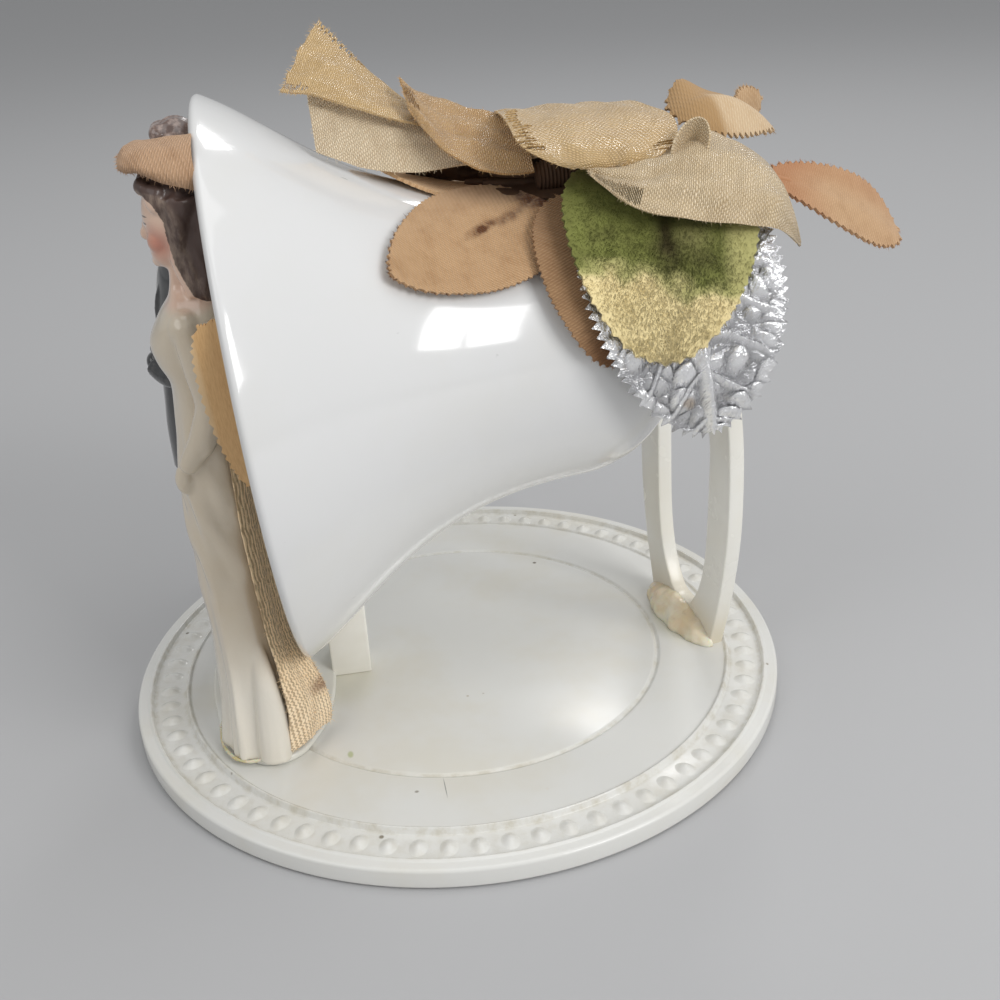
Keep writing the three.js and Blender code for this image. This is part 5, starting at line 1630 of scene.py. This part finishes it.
rear_leaf = wired_leaf(
    "rear_leaf_cloth", REAR_ROOT, REAR_REACH, (0.8, 0.3, 1), 9.6, 16, (0, 3.8, 1), 0.4, 520, belly=1.5,
    blunt=0.36, teeth=15, tooth=1.15, relief=veined(0.15, 0.7, 21))
material, tree, shader, flat, colour = cloth(
    "rear_leaf_twill", (0.64, 0.42, 0.24, 1), (0.44, 0.26, 0.135, 1), 0.33, relief=0.5)
along = three_of(tree, flat)
root_red = one_minus(tree, band(tree, along["Y"], 16, 27))
root_red = plus(tree, root_red, times(tree, band(tree, along["X"], 0, 4.5), 0.45), clamp=True)
colour = stain_and_shade(tree, colour, (0.44, 0.19, 0.09, 1), root_red, 0.75)
feed(tree, shader, {"Base Color": colour})
fit(rear_leaf, material, body="rear_leaf", nodes=["leaf_rear"])


def high_fold(t, off):
    """The far half stands up near the stem and the near half hangs."""
    stand = 1.5 * math.exp(-((t - 0.42) / 0.14) ** 2) * max(0, off / 4)
    return stand - 2.2 * max(0, -off / 4) ** 2 + 0.5 * noise.noise(Vector((t * 4, off / 3, 33)))


high_leaf = wired_leaf(
    "high_leaf_cloth", HIGH_ROOT, HIGH_REACH, (0.15, 0.05, 1), 8.6, 5, (0, 5.6, 0), 0.35, 560, cup=-0.6,
    teeth=13, tooth=0.9, relief=high_fold)
material, tree, shader, flat, colour = cloth(
    "high_leaf_twill", (0.74, 0.58, 0.39, 1), (0.56, 0.38, 0.21, 1), 0.36)
apart = three_of(tree, flat)
# The far half, which stands up, and the part near the stem are darkened to brown: painted shade.
far_half_shade = math_node(tree, "MAXIMUM", band(tree, apart["X"], -0.4, 0.8), band(tree, apart["Y"], 10.6, 9))
colour = stain_and_shade(tree, colour, (0.4, 0.23, 0.09, 1), far_half_shade, 0.8)
feed(tree, shader, {"Base Color": colour})
fit(high_leaf, material, body="high_leaf", nodes=["leaf_high"])

small_leaf = wired_leaf(
    "small_leaf_cloth", SMALL_ROOT, SMALL_REACH, (1, 0.3, 0.4), 3.8, 19.3, (0, 0.6, 2.2), 0.22, 300,
    teeth=6, tooth=1, relief=veined(0.1, 1.6, 41))
material, tree, shader, flat, colour = cloth(
    "small_leaf_twill", (0.64, 0.45, 0.27, 1), (0.44, 0.27, 0.14, 1), 0.36)
fit(small_leaf, material, body="small_leaf", nodes=["leaf_small"])


# Ribbon
# One length of gauzy gold-beige ribbon tied in a flat bow over the binding. It is woven in rows of floats,
# and where it has frayed only the cross threads are left. Its gold is painted lighter on the floats and
# darker in the hollows between them: painted glints and painted shade. It is modelled as five stretches.
RIBBON_THICKNESS = 0.26 * MM
RIBBON_WIDTH = 10.5
THREAD_STEP = 0.11
FLOAT_STEP = 0.26
# Rows across a stretch: way along the bell, angle and height of one edge and of the other, and its bow.
UPPER_TAIL = [
    (15.3, -5, 16.2, 9.5, 6, 6.2, 0.4), (18.2, -5, 13.9, 14, 6, 8, 0.4),
    (22.2, -5.5, 10.8, 21, 6, 8.2, 0.3), (28, -5, 7.7, 28, 6, 7.2, 0.2), (36, -4, 6.2, 36, 6, 6, 0)]
LOWER_TAIL = [
    (12.4, 2.5, 7.6, 12.2, 6, 0.9, 0.5), (17, 2, 8.6, 17, 7, 1.4, 0.5), (22, 1.5, 8.9, 22, 8, 2.2, 0.4),
    (29, 1, 7.8, 29, 9, 3.9, 0.2), (39, -2, 6, 39, 9, 4.4, 0)]
FOLD = [
    (23.2, 0, 12.4, 23.4, 7, 9.8, 0.3), (27.5, -4, 10.4, 26.6, 13.5, 6.4, 0.4),
    (31, -3, 9.4, 31, 17, 4.4, 0.4), (36.5, 0, 7.8, 36.5, 17, 4, 0.3)]
LOOP = [
    (36.5, -13, 2.4, 45.6, -12, 2.4, 0), (34.7, -11, 5.4, 46.8, -10, 5, 0),
    (34.5, -9, 6.6, 47.6, -8, 6.4, 0), (33.9, -3, 8.6, 49.2, -2, 7.8, 0.2), (33.8, 6, 9.4, 51, 6, 8, 0.3),
    (33.8, 17, 10, 53, 16, 8, 0.3), (34.2, 25, 10, 52.4, 25, 7.8, 0.2), (37, 30.2, 9.2, 49.6, 31, 8, 0),
    (39.6, 31.5, 8.2, 46.8, 32, 7.4, 0)]
REAR_TAIL = [
    (41.2, 28.5, 7.4, 41.2, 34, 8.2, 0), (45.6, 28.5, 7.2, 43, 40, 8, 0.5),
    (50.4, 27.5, 7.2, 46, 46, 7.6, 1.2), (55.8, 21, 6.6, 50.8, 49.6, 7.3, 2.2),
    (60.8, 18.8, 3.8, 56, 52.4, 6.8, 3), (64.4, 29, 1, 61, 54.2, 5, 2.6), (65.6, 53, -1, 65, 56.5, 0.2, 0)]


def ribbon_spot(rows, wrinkle, seed):
    """The points of a stretch of ribbon through its rows, finely wrinkled; also its width and length."""
    dense = []
    for row in flowing(rows, 40):
        edges = bell_point(*row[0:3]), bell_point(*row[3:6])
        dense.append((*edges, row[6]))
    middles = [first.lerp(second, 0.5) for first, second, bow in dense]
    reached = [0]
    for before, after in zip(middles, middles[1:]):
        reached.append(reached[-1] + (after - before).length)
    width = sum((first - second).length for first, second, bow in dense) / len(dense)

    def spot(along, across):
        at = along * (len(dense) - 1)
        index = min(int(at), len(dense) - 2)
        share = at - index
        first = dense[index][0].lerp(dense[index + 1][0], share)
        second = dense[index][1].lerp(dense[index + 1][1], share)
        bow = dense[index][2] * (1 - share) + dense[index + 1][2] * share
        over = (across + 1) / 2
        place = first.lerp(second, over)
        centre = MOUTH_PLACE / MM + lengthwise * (place - MOUTH_PLACE / MM).dot(lengthwise)
        outward = (place - centre).normalized()
        length = reached[index] * (1 - share) + reached[index + 1] * share
        ripple = wrinkle * noise.noise(Vector((length / 4, over * 5, seed)))
        ripple += 0.4 * wrinkle * noise.noise(Vector((length / 2.2, over * 14, seed)))
        ripple += 0.45 * wrinkle * math.sin(19 * over + 2.5 * noise.noise(Vector((length / 7, over, seed))))
        return place + outward * (bow * 4 * over * (1 - over) + ripple), (over * width, length)
    return spot, width, reached[-1]


def ribbon_piece(name, rows, node, wrinkle, seed, ladders, frayed, colours, extra=()):
    """A stretch of ribbon. ladders are patches (along from, to, across from, to, every) where only each so
    manyth cross thread is left; frayed counts the loose fibres on its edges."""
    spot, width, length = ribbon_spot(rows, wrinkle, seed)
    columns, across = round(length / THREAD_STEP), round(width / FLOAT_STEP)
    piece = sheet_grid(name, columns, across, spot)
    taken = set()
    for index in range(columns * across):
        along, over = (index % columns + 0.5) / columns, 2 * (index // columns + 0.5) / across - 1
        stray = noise.noise(Vector((index % columns / 4, index // columns / 9, seed)))
        for start, end, low, high, every in ladders:
            inside = start <= along + 0.06 * stray <= end and low <= over + 0.14 * stray <= high
            if inside and index % columns % every:
                taken.add(index)
    use_only(piece)
    pick(piece, "FACE", lambda face: face.index in taken)
    bpy.ops.mesh.delete(type="FACE")
    bpy.ops.object.mode_set(mode="OBJECT")
    finish_with(piece, "SOLIDIFY", thickness=RIBBON_THICKNESS, offset=0)
    roots = edge_roots(spot, frayed, chance) + end_roots(spot, frayed // 4, chance, 0)
    joined([piece, hairs(name + "_fray", roots, 0.6, 0.028, chance), *extra])
    smooth(piece, 60)
    fit(piece, gauze(name + "_gauze", *colours), nodes=[node])
    cut = max(width, RIBBON_WIDTH)
    return piece


# Gauze on a flat map in millimetres: rows of rounded floats, each row half a step on from the last.
FLOAT_LENGTH = 1.6
floats_group, given, result = new_group(
    "ribbon_floats",
    [("Flat", "NodeSocketVector", None), ("Pitch", "NodeSocketFloat", 0.31)],
    [("Height", "NodeSocketFloat"), ("Cloud", "NodeSocketFloat")])
flat = three_of(floats_group, given["Flat"])
sway = times(floats_group, noise_node(floats_group, given["Flat"], 0.5, 2), 0.7)
rows_across = math_node(floats_group, "DIVIDE", plus(floats_group, flat["Y"], sway), given["Pitch"])
steps_along = math_node(floats_group, "DIVIDE", plus(floats_group, flat["X"], sway), given["Pitch"])
steps_along = math_node(floats_group, "DIVIDE", steps_along, FLOAT_LENGTH)
shifted = times(floats_group, math_node(floats_group, "FLOOR", rows_across), 0.5)
first = math_node(floats_group, "SINE", times(floats_group, rows_across, math.pi))
second = plus(floats_group, steps_along, shifted)
second = math_node(floats_group, "SINE", times(floats_group, second, math.pi))
first = math_node(floats_group, "ABSOLUTE", first)
second = math_node(floats_group, "ABSOLUTE", second)
dots = times(floats_group, first, second)
floats_group.links.new(dots, result.inputs["Height"])
floats_group.links.new(noise_node(floats_group, given["Flat"], 0.3, 4, 0.6), result.inputs["Cloud"])


def gauze(name, bright, hollow_shade, pitch, sheer=1.0):
    material, tree, shader = new_material(name)
    flat = cloth_map(tree)
    weave = place_group(tree, floats_group, {"Flat": flat, "Pitch": pitch})
    # The floats take the light colour and the hollows between them the dark one: painted glints and painted
    # shade over the thread's own gold.
    depth = one_minus(tree, band(tree, weave["Height"], 0.12, 0.75))
    cloudy = times(tree, band(tree, weave["Cloud"], 0.4, 0.7), 0.3)
    colour = mixed(tree, plus(tree, times(tree, depth, 0.72), cloudy, clamp=True), bright, hollow_shade)
    feed(tree, shader, {"Base Color": colour})
    bumped(tree, shader, 1.0, 0.4 * pitch * MM, weave["Height"])
    feed(tree, shader, {"Roughness": 0.23, "Specular IOR Level": 0.95, "Sheen Weight": 0.25})
    if sheer < 1:
        gap = times(tree, depth, 1 - sheer)
        feed(tree, shader, {"Alpha": one_minus(tree, gap)})
    return material


GOLD = (0.71, 0.49, 0.225, 1), (0.47, 0.295, 0.11, 1)
ribbon_piece(
    "ribbon_lower_tail", LOWER_TAIL, "ribbon_tail_lower", 0.25, 3, [(0, 1, -1, -0.94, 4)], 90,
    ((0.94, 0.78, 0.54, 1), (0.66, 0.49, 0.3, 1), 0.25, 0.92))
ribbon_piece(
    "ribbon_upper_tail", UPPER_TAIL, "ribbon_tail_upper", 0.3, 6,
    [(0, 0.8, -0.97, -0.86, 4), (0.02, 0.16, 0.78, 0.93, 3)], 240, (*GOLD, 0.22))
ribbon_piece(
    "ribbon_fold_piece", FOLD, "ribbon_fold", 0.45, 9, [(0, 0.12, -0.6, 0.6, 3)], 160,
    ((0.64, 0.4, 0.165, 1), (0.4, 0.22, 0.08, 1), 0.24))
ribbon_piece(
    "ribbon_bow_loop", LOOP, "ribbon_loop", 0.22, 12,
    [(0.48, 0.79, -0.96, -0.82, 4), (0.77, 0.83, 0.74, 0.97, 4)], 160, (*GOLD, 0.28))
# Between the loop and the rear tail the ribbon turns over in a small upright curl.
CURL_PLACE = Vector((13, 29.2, 72.9))
CURL_AXIS = Vector((0.884, -0.137, 0.447))
curl_side = (Vector((0, 1, 0)) - CURL_AXIS * CURL_AXIS.y).normalized()
curl_up = CURL_AXIS.cross(curl_side)


def curl_spot(along, across):
    over = (across + 1) / 2
    turn = math.radians(-100 + 400 * along)
    reach = 0.3 + (1 - 0.2 * along + 0.12 * noise.noise(Vector((along * 5, 0, 3)))) * over ** 0.8
    right, top = 1.7 * reach * math.cos(turn), 2.5 * reach * math.sin(turn)
    place = CURL_PLACE + curl_side * (right + 0.35 * top) + curl_up * top
    return place + CURL_AXIS * (2.2 * over - 1.2 + 0.6 * along), (2.6 * over, 14 * along)


curl = sheet_grid("ribbon_curl", 120, 14, curl_spot)
finish_with(curl, "SOLIDIFY", thickness=RIBBON_THICKNESS, offset=0)
ribbon_piece(
    "ribbon_rear_tail", REAR_TAIL, "ribbon_tail_rear", 0.35, 15,
    [(0.07, 0.3, 0.52, 0.9, 2)], 120, ((0.78, 0.615, 0.385, 1), (0.45, 0.315, 0.16, 1), 0.26),
    extra=[curl])


# Closing
size = {"cad": [list(corner) for corner in cad_box], "visual": [list(corner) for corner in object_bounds()]}
